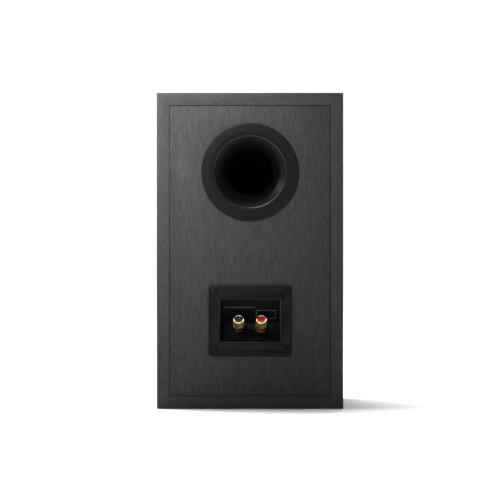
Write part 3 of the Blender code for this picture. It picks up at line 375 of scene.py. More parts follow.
# %% [markdown]
# ## Finishes
#
# A finish is a small graph of nodes. Nearly all of them start from the same idea: a noise pattern in
# the object's own coordinates, stretched to suit the material, drives colour, gloss and a fine bump
# together. Using one pattern for all three makes a surface look like one stuff, because what is
# darker is then also deeper and duller, as on a real grain.


# %% Node helpers
def new_finish(name, roughness=0.5, metallic=0.0, specular=0.5):
    """A material, its node tree and its Principled shader."""
    material = bpy.data.materials.new(name)
    material.use_nodes = True
    tree = material.node_tree
    shader = tree.nodes["Principled BSDF"]
    shader.inputs["Roughness"].default_value = roughness
    shader.inputs["Metallic"].default_value = metallic
    shader.inputs["Specular IOR Level"].default_value = specular
    return material, tree, shader


def node(tree, kind, sockets=None, **settings):
    """Adds a node. A socket's value may be another node's output, which is then linked."""
    made = tree.nodes.new("ShaderNode" + kind)
    for name, value in settings.items():
        setattr(made, name, value)
    for name, value in (sockets or {}).items():
        if isinstance(value, bpy.types.NodeSocket):
            tree.links.new(value, made.inputs[name])
        else:
            made.inputs[name].default_value = value
    return made


def pattern(tree, scale, detail=4.0, roughness=0.55, distortion=0.0, turn=(0.0, 0.0, 0.0)):
    """A noise pattern in the object's coordinates. scale is how many blotches fit in a metre."""
    where = node(tree, "TexCoord").outputs["Object"]
    mapped = node(tree, "Mapping", {"Vector": where, "Scale": scale, "Rotation": turn})
    settings = {
        "Vector": mapped.outputs["Vector"],
        "Scale": 1.0,
        "Detail": detail,
        "Roughness": roughness,
        "Distortion": distortion,
    }
    return node(tree, "TexNoise", settings).outputs["Fac"]


def maths(tree, operation, first, second):
    """One sum on two values, each a number or another node's output."""
    made = node(tree, "Math", operation=operation)
    for socket, value in zip(made.inputs, (first, second)):
        if isinstance(value, bpy.types.NodeSocket):
            tree.links.new(value, socket)
        else:
            socket.default_value = value
    return made.outputs[0]


def ramp(tree, factor, *stops):
    """A colour ramp through (position, colour) stops."""
    made = node(tree, "ValToRGB", {"Fac": factor})
    elements = made.color_ramp.elements
    while len(elements) < len(stops):
        elements.new(0.5)
    for element, (position, colour) in zip(elements, stops):
        element.position = position
        element.color = (*colour, 1.0)
    return made.outputs["Color"]


def blended(tree, first, first_share, second, second_share):
    """Two patterns added, each by its share."""
    one = maths(tree, "MULTIPLY", first, first_share)
    return maths(tree, "ADD", one, maths(tree, "MULTIPLY", second, second_share))


def span(tree, factor, low, high, start=0.25, end=0.75):
    """Maps a pattern's usual range onto two values."""
    sockets = {"Value": factor, "From Min": start, "From Max": end, "To Min": low, "To Max": high}
    return node(tree, "MapRange", sockets).outputs["Result"]


def bump(tree, shader, height, strength, depth):
    """Feeds a pattern to the shader as small hills that are so many metres high."""
    made = node(tree, "Bump", {"Height": height, "Strength": strength, "Distance": depth})
    tree.links.new(made.outputs["Normal"], shader.inputs["Normal"])


# %% [markdown]
# ### Black ash wrap
#
# The cabinet is fibreboard in a printed and embossed vinyl wrap. The grain is three patterns at three
# widths: broad figure, fine fibres and short dark pores, all stretched along the board. The grain
# runs upright on the sides and the panels and level on the top and bottom boards. The boards' wrap is
# made a little paler than the panels' (a tone of 1.12 against 1.0), so there are three versions of
# this finish. A print of real veneer would be the other way to make it, but nodes stay sharp from any
# distance and never repeat.

# %% Black ash, upright, level and for the panels
ASH_DARK = 0.0175
ASH_MIDDLE = 0.0290
ASH_LIGHT = 0.0440
FIBRES = 1250.0
FIGURE = 260.0
PORES = 1500.0


def along_grain(across, share, axis):
    """The same blotch count on two axes, and a share of it along the grain."""
    scale = [across] * 3
    scale["XYZ".index(axis)] = across * share
    return scale


def black_ash(name, axis, tone):
    """The wrap with its grain along an axis. tone makes all of it paler or darker."""
    material, tree, shader = new_finish(name, specular=0.14)
    fibres = pattern(tree, along_grain(FIBRES, 0.085, axis), 5.0, 0.62, 0.25)
    figure = pattern(tree, along_grain(FIGURE, 0.22, axis), 3.0, 0.5, 0.8)
    pores = pattern(tree, along_grain(PORES, 0.16, axis), 2.0, 0.5)
    pits = span(tree, pores, 0.0, 1.0, 0.58, 0.70)
    mixed = blended(tree, fibres, 0.78, figure, 0.22)
    grain = maths(tree, "SUBTRACT", mixed, maths(tree, "MULTIPLY", pits, 0.14))
    shades = [(tone * shade_of,) * 3 for shade_of in (ASH_DARK, ASH_MIDDLE, ASH_LIGHT)]
    colour = ramp(tree, grain, *zip((0.30, 0.48, 0.70), shades))
    tree.links.new(colour, shader.inputs["Base Color"])
    tree.links.new(span(tree, grain, 0.62, 0.44), shader.inputs["Roughness"])
    bump(tree, shader, grain, 0.45, 0.00016)
    return material


ash_upright = black_ash("black_ash_upright", "Z", 1.12)
ash_level = black_ash("black_ash_level", "X", 1.12)
ash_panel = black_ash("black_ash_panel", "Z", 1.0)

# %% [markdown]
# ### Moulded plastics
#
# The port and the terminal cup come out of a mould whose steel is etched to a fine even grain. That
# grain is a bump of a few hundredths of a millimetre, finer than the eye can tell apart, which turns
# a glossy resin into a soft matt one. A slow, wide pattern adds the faint clouding that big flat
# The mould is polished at the port's bead and at the cup's window, which gives satin
# edges. The plug and the black collar of a terminal are small and smooth, so they are glossy. The red
# collar is a far darker and a little duller copy of the plug's red: its darkness is painted shade, for
# the post's shaded base.


# %% Matt, satin and glossy plastic
def moulded(name, dark, light, roughness, grain, depth, specular=0.5):
    """A moulded plastic. grain is the number of its fine bumps in a metre."""
    material, tree, shader = new_finish(name, specular=specular)
    fine = pattern(tree, (grain,) * 3, 2.0, 0.6)
    cloud = pattern(tree, (26.0,) * 3, 3.0, 0.5)
    both = blended(tree, fine, 0.35, cloud, 0.65)
    tree.links.new(ramp(tree, both, (0.30, dark), (0.70, light)), shader.inputs["Base Color"])
    tree.links.new(span(tree, both, roughness * 1.12, roughness * 0.9), shader.inputs["Roughness"])
    bump(tree, shader, fine, 0.5, depth)
    return material


ETCHED = 2600.0  # bumps in a metre of etched steel
SMOOTH = 900.0
matt_dark, matt_light = (0.0008, 0.0011, 0.0015), (0.0016, 0.0020, 0.0026)
flare_dark, flare_light = (0.0008, 0.0009, 0.0011), (0.0016, 0.0018, 0.0021)
satin_dark, satin_light = (0.0020, 0.0023, 0.0027), (0.0036, 0.0040, 0.0046)
matt_plastic = moulded("matt_black_plastic", matt_dark, matt_light, 0.42, ETCHED, 0.00002, 0.15)
gloss_plastic = moulded("gloss_black_plastic", (0.004,) * 3, (0.008,) * 3, 0.16, SMOOTH, 0.000004)
flare_plastic = moulded("flare_black_plastic", flare_dark, flare_light, 0.50, ETCHED, 0.00003, 0.13)
satin_plastic = moulded("satin_black_plastic", satin_dark, satin_light, 0.32, ETCHED, 0.00001, 0.45)
# The collar's red below is painted shade: a far darker copy of the plug's red.
collar_shade_dark, collar_shade_light = (0.045, 0.006, 0.004), (0.085, 0.009, 0.006)
red_dark, red_light = (0.42, 0.006, 0.005), (0.56, 0.010, 0.008)
red_collar_painted_shade = moulded("dull_red_painted_shade", collar_shade_dark, collar_shade_light, 0.34, SMOOTH, 0.000004)
red_plastic = moulded("gloss_red_plastic", red_dark, red_light, 0.20, SMOOTH, 0.000004)
print("plastics made:", len(bpy.data.materials))

# %% [markdown]
# ### Metals
#
# A metal's look is its reflection, so its colour pattern stays weak and its gloss pattern does the
# work. Gold plate on turned brass has a bright skin with faint marks, zinc plate has a soft
# crystal spangle, and black oxide on a screw is dull with paler, rubbed spots. The gold finish of the
# knurled caps, the studs and the washers is far darker than that bright skin: painted shade, for the
# dark between the knurl's points and under the tilted posts. The polished ring at a cap's end keeps
# gold's own bright colour.


# %% Gold, steel and black oxide
def metal(name, dark, light, low, high, scale, depth=0.000008, metallic=1.0):
    """A metal with a pattern that moves its roughness from low to high."""
    material, tree, shader = new_finish(name, metallic=metallic)
    marks = pattern(tree, scale, 4.0, 0.6)
    tree.links.new(ramp(tree, marks, (0.25, dark), (0.75, light)), shader.inputs["Base Color"])
    tree.links.new(span(tree, marks, high, low), shader.inputs["Roughness"])
    bump(tree, shader, marks, 0.4, depth)
    return material


# The first gold is painted shade, far darker than gold's own colour; the second is gold's own bright colour.
shaded_gold_dark, shaded_gold_light = (0.055, 0.038, 0.009), (0.22, 0.165, 0.062)
bright_dark, bright_light = (0.80, 0.60, 0.26), (0.95, 0.76, 0.42)
zinc_dark, zinc_light = (0.42, 0.43, 0.45), (0.66, 0.66, 0.67)
oxide_dark, oxide_light = (0.004, 0.004, 0.0045), (0.011, 0.011, 0.012)
gold_plate = metal("gold_plate", shaded_gold_dark, shaded_gold_light, 0.20, 0.34, (1500.0,) * 3)
gold_bright = metal("polished_gold_plate", bright_dark, bright_light, 0.10, 0.20, (900.0,) * 3)
zinc_steel = metal("zinc_plated_steel", zinc_dark, zinc_light, 0.26, 0.46, (260.0,) * 3)
black_oxide = metal(
    "black_oxide_screw", oxide_dark, oxide_light, 0.40, 0.58, (1300.0,) * 3, 0.00001, 0.8
)
print("metals and plastics:", len(bpy.data.materials))

# %% [markdown]
# ### Wound copper
#
# The coils are hundreds of turns of enamelled wire. Modelling each turn would cost far more faces than
# it shows, so bands of a wave pattern stand for the turns, in colour and in bump, and a slow pattern
# clouds the lacquer.


# %% Copper for the drivers and the filter
def wound_copper(name, axis, pitch):
    """Enamelled wire wound in even turns, as bands across the coil's axis."""
    material, tree, shader = new_finish(name, 0.3, 1.0)
    where = node(tree, "TexCoord").outputs["Object"]
    turns = {"Vector": where, "Scale": 1.0 / pitch / math.tau * 2.0, "Distortion": 0.15, "Detail": 1.0}
    bands = node(tree, "TexWave", turns, bands_direction=axis, wave_profile="SIN").outputs["Fac"]
    patches = pattern(tree, (350.0,) * 3, 3.0, 0.5)
    lacquer = ((0.15, (0.30, 0.10, 0.04)), (0.85, (0.80, 0.38, 0.18)))
    colour = ramp(tree, blended(tree, bands, 0.6, patches, 0.4), *lacquer)
    tree.links.new(colour, shader.inputs["Base Color"])
    tree.links.new(span(tree, patches, 0.38, 0.24), shader.inputs["Roughness"])
    bump(tree, shader, bands, 0.8, 0.0001)
    return material


driver_copper = wound_copper("voice_coil_copper", "Y", 0.0004)
filter_copper = wound_copper("inductor_copper", "Z", 0.0009)
print("finishes so far:", len(bpy.data.materials))

# %% [markdown]
# ### Papers, cloths, rubbers and boards
#
# The parts of a driver that move are light and soft. A cone is pressed paper pulp, so short fibres
# lie across each other in it. A surround is smooth rubber with a dusty bloom. A spider is woven
# cotton in resin, and a dome is coated silk: for a weave, two sets of waves cross each other. Boards,
# foams, paints and ferrite are grains of another size, so one recipe serves for all of them, and only
# its numbers differ.


# %% Fibre, foam and paint
def fibrous(name, dark, light, scale, roughness, depth, distortion=0.8, detail=6.0, specular=0.3):
    """A surface of short fibres or grains: pulp, fibreboard, foam, rubber bloom, paint or ferrite."""
    material, tree, shader = new_finish(name, specular=specular)
    fibres = pattern(tree, scale, detail, 0.6, distortion)
    patches = pattern(tree, tuple(x * 0.07 for x in scale), 2.0, 0.5)
    both = blended(tree, fibres, 0.7, patches, 0.3)
    tree.links.new(ramp(tree, both, (0.28, dark), (0.72, light)), shader.inputs["Base Color"])
    tree.links.new(span(tree, both, roughness * 1.1, roughness * 0.88), shader.inputs["Roughness"])
    bump(tree, shader, fibres, 0.6, depth)
    return material


cone_pulp = fibrous(
    "cone_pulp", (0.008, 0.008, 0.009), (0.030, 0.030, 0.032), (900.0,) * 3, 0.75, 0.00012, 1.6
)
rubber = fibrous(
    "surround_rubber", (0.006, 0.006, 0.006), (0.014, 0.014, 0.014), (700.0,) * 3, 0.58, 0.00001, 0.2
)
sheet_dark, sheet_light = (0.007, 0.007, 0.008), (0.014, 0.014, 0.016)
paint_dark, paint_light = (0.004, 0.004, 0.0045), (0.010, 0.010, 0.0105)
cap_sheet = fibrous(
    "dust_cap_sheet", sheet_dark, sheet_light, (420.0,) * 3, 0.30, 0.00001, 0.4, 3.0, 0.5
)
basket_paint = fibrous(
    "basket_paint", paint_dark, paint_light, (1100.0,) * 3, 0.42, 0.00004, 0.0, 2.0, 0.25
)
ferrite = fibrous(
    "ferrite", (0.030, 0.030, 0.033), (0.085, 0.085, 0.090), (600.0,) * 3, 0.62, 0.00006, 0.3
)
fibreboard = fibrous(
    "bare_fibreboard", (0.20, 0.115, 0.055), (0.42, 0.27, 0.15), (520.0, 520.0, 1500.0), 0.85, 0.0002, 1.2
)
open_foam = fibrous(
    "open_cell_foam", (0.018, 0.018, 0.020), (0.110, 0.110, 0.118), (650.0,) * 3, 0.95, 0.0007, 2.2
)
sleeve_black = fibrous(
    "lead_sleeve", (0.012, 0.012, 0.012), (0.030, 0.030, 0.030), (300.0,) * 3, 0.45, 0.00002, 0.2
)
film_wrap = fibrous(
    "film_wrap", (0.40, 0.27, 0.035), (0.56, 0.41, 0.08), (40.0, 500.0, 500.0), 0.32, 0.00003, 0.3
)
solder_mask = fibrous(
    "solder_mask", (0.016, 0.060, 0.020), (0.040, 0.130, 0.042), (260.0,) * 3, 0.38, 0.00002, 0.5
)


# %% [markdown]
# ### Woven cloths
#
# A weave seen from a little way off is a field of small cushions, one where each thread comes to the
# top. Two crossed waves multiplied give just that, at the pitch of the real threads.


# %% Silk and spider cloth
def woven(name, dark, light, pitch, roughness, depth, specular=0.3):
    """A plain weave: waves along X and Z that cross, and a slow pattern that makes it uneven."""
    material, tree, shader = new_finish(name, specular=specular)
    where = node(tree, "TexCoord").outputs["Object"]
    threads = []
    for axis in "XZ":
        sockets = {"Vector": where, "Scale": 2.0 / (pitch * math.tau), "Distortion": 0.4, "Detail": 1.0}
        threads.append(node(tree, "TexWave", sockets, bands_direction=axis).outputs["Fac"])
    weave = maths(tree, "MULTIPLY", *threads)
    cloud = pattern(tree, (300.0,) * 3, 3.0, 0.5)
    both = blended(tree, weave, 0.6, cloud, 0.5)
    tree.links.new(ramp(tree, both, (0.2, dark), (0.8, light)), shader.inputs["Base Color"])
    tree.links.new(span(tree, both, roughness * 1.1, roughness * 0.9), shader.inputs["Roughness"])
    bump(tree, shader, weave, 0.7, depth)
    return material


silk = woven(
    "coated_silk", (0.008, 0.008, 0.009), (0.030, 0.030, 0.034), 0.00035, 0.42, 0.00003, 0.5
)
spider_cloth = woven("spider_cloth", (0.26, 0.15, 0.045), (0.62, 0.43, 0.18), 0.0007, 0.85, 0.00012)


# %% [markdown]
# ### Dressing a part
#
# Every part needs the same three things at its end: its finish, the moving body that carries it, and
# the name of the plain part that it stands for. Plain parts whose shape is good enough stay as they
# are and only get a better finish in the slot that they have.


# %% Finish, ride and replace
BODY_OF = {name: obj["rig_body"] for name, obj in frame["nodes"].items()}


def dress(obj, finish, *stands_for):
    """Gives a new part its finish, its body and the plain parts that it replaces."""
    obj.data.materials.clear()
    obj.data.materials.append(finish)
    first = stands_for[0]
    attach(obj, BODY_OF[first])
    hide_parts(*stands_for)
    return obj


def refinish(name, finish):
    """Puts a finish in a plain part's own material slot."""
    frame["nodes"][name].material_slots[0].material = finish


print("finishes:", [made.name for made in bpy.data.materials if made.use_nodes][-12:])

# %% [markdown]
# ## The cabinet
#
# The box is one long wrapped board that is folded up at three V-shaped cuts, so its corners are
# mitred and the wrap runs round them without a seam. The whole frame is made first as one ring, from a
# cube with rounded edges and a rectangular hole. Then it is sliced along the mitres into four
# boards. Made this way, the rounding of a corner is shared evenly by the two boards that meet there.

# %% The ring that becomes four boards
MITRE_GAP = 0.00004
CORNER = 0.0009
ARRIS = 0.0005
REVEAL = 0.0006  # the gap between the boards and a panel that is let into them

left_low, left_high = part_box("cabinet_left_side")
panel_low, panel_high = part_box("rear_panel")
baffle_low, baffle_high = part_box("front_baffle")
half_width = -left_low.x
full_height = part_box("cabinet_top")[1].z
half_depth = left_high.y
board = left_high.x - left_low.x
opening = panel_high.x + REVEAL
rebate_front = baffle_high.y + 0.0003
rebate_rear = panel_low.y - 0.0003
print("board", round(board * 1000, 1), "mm thick, cabinet", round(full_height * 1000), "mm high")


def through(name, reach, low_y, high_y):
    """A cutter for the ring's hole, from one depth to another. reach is its half width."""
    edge = half_width - reach
    return block(name, (-reach, low_y, edge), (reach, high_y, full_height - edge))


ring = block("cabinet_ring", (-half_width, -half_depth, 0.0), (half_width, half_depth, full_height))
round_edges(ring, lambda a, b: abs(a.y - b.y) > half_depth, CORNER, 5)
cut(ring, through("inside_cutter", half_width - board, -1.0, 1.0))
cut(ring, through("front_rebate_cutter", opening, -1.0, rebate_front))
cut(ring, through("rear_rebate_cutter", opening, rebate_rear, 1.0))
soften(ring, ARRIS, 3, 40)
print("ring faces:", len(ring.data.polygons))


# %% [markdown]
# ### Slicing the mitres
#
# A bisect cuts a mesh with a plane, throws one side away and fills the cut. Two bisects leave one
# board of the ring: the planes run through the corners at 45 degrees, a hair apart.


# %% Four boards from one ring
def mitre(obj, corner, normal):
    """Keeps what lies behind a plane through a corner of the ring."""
    alone(obj)
    bpy.ops.object.mode_set(mode="EDIT")
    bpy.ops.mesh.select_all(action="SELECT")
    bpy.ops.mesh.bisect(
        plane_co=Vector(corner) - normal * MITRE_GAP / 2,
        plane_no=normal,
        use_fill=True,
        clear_outer=True,
        threshold=0.000001,
    )
    bpy.ops.object.mode_set(mode="OBJECT")


def cut_board(name, first, second, plain, finish):
    """One board: first and second are its mitres, each a corner and the way to what is cut off."""
    piece = duplicate(ring, name)
    for corner, way in (first, second):
        mitre(piece, corner, Vector(way).normalized())
    shade(piece)
    return dress(piece, finish, plain)


low_left = (-half_width, 0.0, 0.0)
low_right = (half_width, 0.0, 0.0)
high_left = (-half_width, 0.0, full_height)
high_right = (half_width, 0.0, full_height)
boards = [
    cut_board(f"{side}_board", first, second, plain, finish)
    for side, first, second, plain, finish in (
        ("left", (low_left, (1, 0, -1)), (high_left, (1, 0, 1)), "cabinet_left_side", ash_upright),
        ("right", (low_right, (-1, 0, -1)), (high_right, (-1, 0, 1)), "cabinet_right_side", ash_upright),
        ("top", (high_left, (-1, 0, -1)), (high_right, (1, 0, -1)), "cabinet_top", ash_level),
        ("bottom", (low_left, (-1, 0, 1)), (low_right, (1, 0, 1)), "cabinet_bottom", ash_level),
    )
]
bpy.data.objects.remove(ring)
print("boards:", [len(piece.data.polygons) for piece in boards])

# %% [markdown]
# ### The rear panel
#
# Both panels are plain boards with holes. Only the edge that shows is rounded, a little more sharply
# than the boards' own, so that a thin shadow runs round each panel. Holes could be left out of a part
# that nobody looks behind, but the port's and the cup's edges stand in them, so they are cut for real.


# %% The rear panel with its holes
PANEL_EDGE = 0.0004
PAST = 0.01  # how far a cutter reaches past what it cuts
PILOT = 0.0018  # radius of a screw's hole
PORT_SEAT = 0.0367
CUP_HOLE_HALF = 0.0313
CUP_HOLE_LOW, CUP_HOLE_HIGH = 0.0620, 0.1076
SCREW_X, SCREW_Z = 0.035, 0.02725  # the cup's screws, from its middle
WRAP = Vector((0.0004, 0.0, 0.0004))  # the wrap thickens a panel's rim, which nearly closes the gap


def along_y(name, radius, place, start, end, sides=ROUND):
    """A round cutter along Y."""
    return stand(rod(name, radius, 0.0, end - start, sides), (place[0], start, place[1]), -90)


def panel(name, low, high, face):
    """A board whose outer face, at the depth named, has rounded edges."""
    made = block(name, low, high)

    def at_face(a, b):
        return abs(a.y - face) < WELD and abs(b.y - face) < WELD

    return round_edges(made, at_face, PANEL_EDGE, 3)


port_low, port_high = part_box("port_flare")
port_height = (port_low.z + port_high.z) / 2
cup_low, cup_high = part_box("terminal_cup")
cup_height = (cup_low.z + cup_high.z) / 2
rear = panel("rear_board", panel_low - WRAP, panel_high + WRAP, panel_high.y)
rear_start, rear_end = panel_low.y - PAST, panel_high.y + PAST
cut(rear, along_y("port_hole", PORT_SEAT, (0.0, port_height), rear_start, rear_end))
cup_hole_low = (-CUP_HOLE_HALF, rear_start, CUP_HOLE_LOW)
cut(rear, block("cup_hole", cup_hole_low, (CUP_HOLE_HALF, rear_end, CUP_HOLE_HIGH)))
for x, z in four(SCREW_X, SCREW_Z):
    cut(rear, along_y("pilot", PILOT, (x, cup_height + z), rear_start, rear_end, 24))
dress(shade(rear), ash_panel, "rear_panel")
print("rear panel faces:", len(rear.data.polygons))

# %% [markdown]
# ### The front baffle
#
# Each driver sinks into a seat as deep as its flange, round a smaller hole for its basket. A router
# makes both with the same template, so here one pair of round cutters does it for each driver, and
# four pilot holes follow on the circle of its screws.

# %% The baffle with its seats
WOOFER_SCREWS = 0.0620  # radius of the circle that the screws stand on
TWEETER_SCREWS = 0.0393
woofer_low, woofer_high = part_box("woofer_basket")
tweeter_low, tweeter_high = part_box("tweeter_faceplate")
woofer_height = (woofer_low.z + woofer_high.z) / 2
tweeter_height = (tweeter_low.z + tweeter_high.z) / 2
baffle_face = baffle_low.y
front = panel("front_board", baffle_low - WRAP, baffle_high + WRAP, baffle_face)
front_end = baffle_high.y + PAST
for height, seat, hole, floor in (
    (woofer_height, 0.0671, 0.0575, 0.0043),
    (tweeter_height, 0.0456, 0.0355, 0.0038),
):
    place = (0.0, height)
    cut(front, along_y("seat", seat, place, baffle_face - PAST, baffle_face + floor))
    cut(front, along_y("hole", hole, place, baffle_face, front_end))
for height, circle in ((woofer_height, WOOFER_SCREWS), (tweeter_height, TWEETER_SCREWS)):
    reach = circle * math.sqrt(0.5)
    for x, z in four(reach, reach):
        cut(front, along_y("pilot", PILOT, (x, height + z), baffle_face, front_end, 24))
dress(shade(front), ash_panel, "front_baffle")
print("baffle faces:", len(front.data.polygons))

# %% [markdown]
# ## The reflex port
#
# The port lets the box breathe at low notes. Its mouth flares out, because air that rushes past a
# sharp edge would hiss. Three mouldings share the work: the flare with its raised bead, a flat ring
# that hides the flare's rim and the edge of the hole, and the long tube behind. All three are turned
# shapes. Heights count outwards from the rear panel's face. The bead is a piece of its own, since only
# its face is polished, and one piece for each finish keeps both simple.

# %% The port's sizes
MOUTH = 0.0343
BORE = 0.02225
WALL = 0.0022
LIP = 0.0034
BEAD = 0.0008  # how high the bead stands above the flare
BEAD_LAP = 0.0001  # how far it reaches in past the mouth's radius
MOUTH_ANGLE = 60  # where the flare's ellipse ends, so that its rim still slopes
FLARE_DEPTH = 0.022
NECK = 0.010
rear_face = panel_high.y
port_place = (0.0, rear_face, port_height)
print("port flare:", [round(x * 1000, 1) for x in port_high - port_low])

# %% [markdown]
# ### The port's mouldings
#
# A section of each moulding is drawn from its inner edge outwards and spun. Where a curve matters, as
# in the flare and the bead, it is an arc of an ellipse with enough points to look round from close by.


# %% Ring, flare, bead and tube
def port_trim():
    """A flat ring with a small outer shoulder and a shallow step beside the bead."""
    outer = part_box("port_trim_ring")[1].x
    inner = 0.0356
    top = 0.0028
    shoulder = arc((outer - 0.0009, top - 0.0007), (0.0009, 0.0007), 90, 8, 6)
    outline = [
        (inner, 0.0016),
        (inner, top - 0.0007),
        *arc((inner + 0.0003, top - 0.0007), (0.0003, 0.0003), 180, 90, 3),
        (inner + 0.0026, top - 0.0004),
        (inner + 0.0030, top),
        *shoulder,
        (outer, 0.0003),
        (0.0408, 0.0003),
        (0.0408, 0.0016),
    ]
    return stand(turned("port_ring", outline, 192), port_place, -90)


def port_mouth():
    """Part of an ellipse from the bore up to the bead's seat, with a rim that the ring holds down."""
    start = LIP - BEAD
    across = (MOUTH - BEAD_LAP - BORE) / (1 - math.cos(math.radians(MOUTH_ANGLE)))
    along = (FLARE_DEPTH + start) / math.sin(math.radians(MOUTH_ANGLE))
    inside = arc((BORE + across, -FLARE_DEPTH), (-across, along), MOUTH_ANGLE, 0, 28)
    body = MOUTH + 0.0016
    outside = arc((body, -FLARE_DEPTH), (BORE + WALL - body, FLARE_DEPTH * 0.8), 0, 90, 12)
    outline = [
        *inside,
        (BORE, -FLARE_DEPTH - NECK),
        (BORE + WALL, -FLARE_DEPTH - NECK),
        *outside,
        (body, 0.0003),
        (0.0402, 0.0003),
        (0.0402, 0.0013),
        (MOUTH + 0.0010, 0.0013),
        (MOUTH + 0.0010, start),
    ]
    return stand(turned("port_mouth", outline, 192), port_place, -90)


def port_bead():
    """The bead on top of the flare, upright outside and rounded inside, where the mould is polished."""
    start = LIP - BEAD
    outline = [
        (MOUTH - BEAD_LAP, start - 0.0002),
        (MOUTH + 0.0010, start - 0.0002),
        *arc((MOUTH + 0.0010, start), (-0.0010 - BEAD_LAP, BEAD), 90, 0, 12),
    ]
    return stand(turned("port_bead", outline, 192), port_place, -90)


def port_pipe():
    """The tube, with a socket over the flare's neck and a small flare at its inner end."""
    length = 0.118
    inner_mouth = 0.032
    outer = BORE + WALL
    socket = outer + 0.0003
    start = -FLARE_DEPTH - NECK - 0.0003
    spread = inner_mouth - BORE
    middle = (BORE + spread, -length + spread)
    outline = [
        (BORE, start),
        *arc(middle, (-spread, -spread), 0, 86, 14),
        *arc(middle, (WALL - spread, WALL - spread), 86, 0, 14),
        (outer, start - 2 * WALL),
        (socket + WALL, start - WALL),
        (socket + WALL, -FLARE_DEPTH - 0.0006),
        (socket, -FLARE_DEPTH - 0.0006),
        (socket, start),
    ]
    return stand(turned("port_pipe", outline, 96), port_place, -90)


dress(shade(port_trim(), 28), matt_plastic, "port_trim_ring")
dress(shade(port_mouth(), 28), flare_plastic, "port_flare")
dress(shade(port_bead(), 28), satin_plastic, "port_flare")
dress(shade(port_pipe(), 28), matt_plastic, "port_tube")
print("port bead radius:", round((MOUTH + 0.0010) * 1000, 1), "mm")


# %% [markdown]
# ## The terminal cup
#
# The cup is one moulding: a flange on the panel, and behind its window a V-shaped recess. The lower
# plate of the V leans back, so the posts point up and out, where fingers can reach them. The recess is
# cut out with one wedge whose side view is drawn point by point and pulled across the cup. The same
# side view, moved out by the wall's thickness, gives the cup's back.

# %% The recess's side view
CUP_WALL = 0.0020
POCKET_HALF = 0.029
POCKET_LOW = 0.06435
POCKET_HIGH = 0.10525
POCKET_TOP = 0.0030  # how deep the window's top edge lies
LEDGE = 0.0062  # how deep the lower plate's outer edge lies
CREASE_UP = 0.0176
PLATE_TILT = math.radians(40)
cup_face = cup_high.y
cup_back = cup_face - 0.0026
crease = (cup_face - LEDGE - CREASE_UP * math.tan(PLATE_TILT), POCKET_LOW + CREASE_UP)
wall_rise = POCKET_HIGH - crease[1]
wall_run = cup_face - POCKET_TOP - crease[0]
wall_angle = math.atan2(wall_run, wall_rise)
print("crease", round((cup_face - crease[0]) * 1000, 1), "mm deep")


def recess(wall, face):
    """The V as (y, z) points, or the outside of its wall when a wall is given."""
    lower = wall * math.tan((math.pi / 2 - PLATE_TILT) / 2)
    upper = wall * math.tan((math.pi / 2 - wall_angle) / 2)
    half_bend = (math.pi - PLATE_TILT - wall_angle) / 2
    reach = wall / math.sin(half_bend)
    turn = (PLATE_TILT - wall_angle) / 2
    return [
        (face, POCKET_LOW - wall),
        (cup_face - LEDGE - lower, POCKET_LOW - wall),
        (crease[0] - reach * math.cos(turn), crease[1] - reach * math.sin(turn)),
        (cup_face - POCKET_TOP - upper, POCKET_HIGH + wall),
        (face, POCKET_HIGH + wall),
    ]


# %% [markdown]
# ### Flange, window and screw seats
#
# The flange is a rounded block. The body behind it is joined on and the pocket is cut out of both. A
# bevel on the window's edge would have to run past the pocket's own corners, so a block that widens
# outwards slopes the rim instead, with one more cut.


# %% The cup's shell
HEAD_SEAT = 0.0040
HEAD_SEAT_DEPTH = 0.0018
RIM_SLOPE = 0.0006  # how deep the window's sloping rim is
FLANGE_CORNER = 0.0026
FLANGE_EDGE = 0.0015

cup = block("cup_shell", (cup_low.x, cup_back, cup_low.z), (cup_high.x, cup_face, cup_high.z))
round_edges(cup, lambda a, b: abs(a.y - b.y) > 0.001, FLANGE_CORNER, 8)
round_edges(cup, lambda a, b: min(a.y, b.y) > cup_face - WELD, FLANGE_EDGE, 4)
body_half = POCKET_HALF + CUP_WALL
unite(cup, drawn("cup_body", recess(CUP_WALL, cup_back + 0.0013), -body_half, body_half))
cut(cup, drawn("pocket", recess(0.0, cup_face + 0.001), -POCKET_HALF, POCKET_HALF))


def flared_window():
    """A block that widens outwards, to slope the window's rim."""
    made = block(
        "window_flare",
        (-POCKET_HALF, cup_face - RIM_SLOPE, POCKET_LOW),
        (POCKET_HALF, cup_face + RIM_SLOPE, POCKET_HIGH),
    )
    pick_edges(made, lambda a, b: min(a.y, b.y) > cup_face)
    half = (POCKET_HIGH - POCKET_LOW) / 2
    wider = ((POCKET_HALF + 2 * RIM_SLOPE) / POCKET_HALF, 1.0, (half + 2 * RIM_SLOPE) / half)
    bpy.ops.transform.resize(value=wider, center_override=(0.0, cup_face, POCKET_LOW + half))
    bpy.ops.object.mode_set(mode="OBJECT")
    return made


cut(cup, flared_window())
for x, z in four(SCREW_X, SCREW_Z):
    place = (x, cup_height + z)
    cut(cup, along_y("seat", HEAD_SEAT, place, cup_face - HEAD_SEAT_DEPTH, cup_face + 0.001, 48))
    cut(cup, along_y("hole", PILOT, place, cup_back - 0.001, cup_face, 32))
print("cup shell faces:", len(cup.data.polygons))

# %% [markdown]
# ### Posts and their places
#
# Each post stands square on the lower plate. The hinge of its cap already says where it is and which
# way it points, so the place is read from there and not typed in again. A part is turned upright, at
# zero, and then tipped over and carried to its post.

# %% Where the posts stand
POST = {}
for joint in frame["joints"]:
    if joint["name"].endswith("_cap_turn"):
        POST[joint["name"].split("_")[0]] = Vector(joint["pos_m"])
        POST_AXIS = Vector(joint["axis"])
post_tip = -math.degrees(math.atan2(POST_AXIS.y, POST_AXIS.z))
print("posts at", POST, "tipped", round(post_tip, 1))


def on_post(obj, colour):
    """Tips an upright part over and carries it to its post."""
    return stand(obj, POST[colour], post_tip)


for colour in POST:
    cut(cup, on_post(rod("post_hole", 0.0023, -0.004, 0.001, 32), colour))

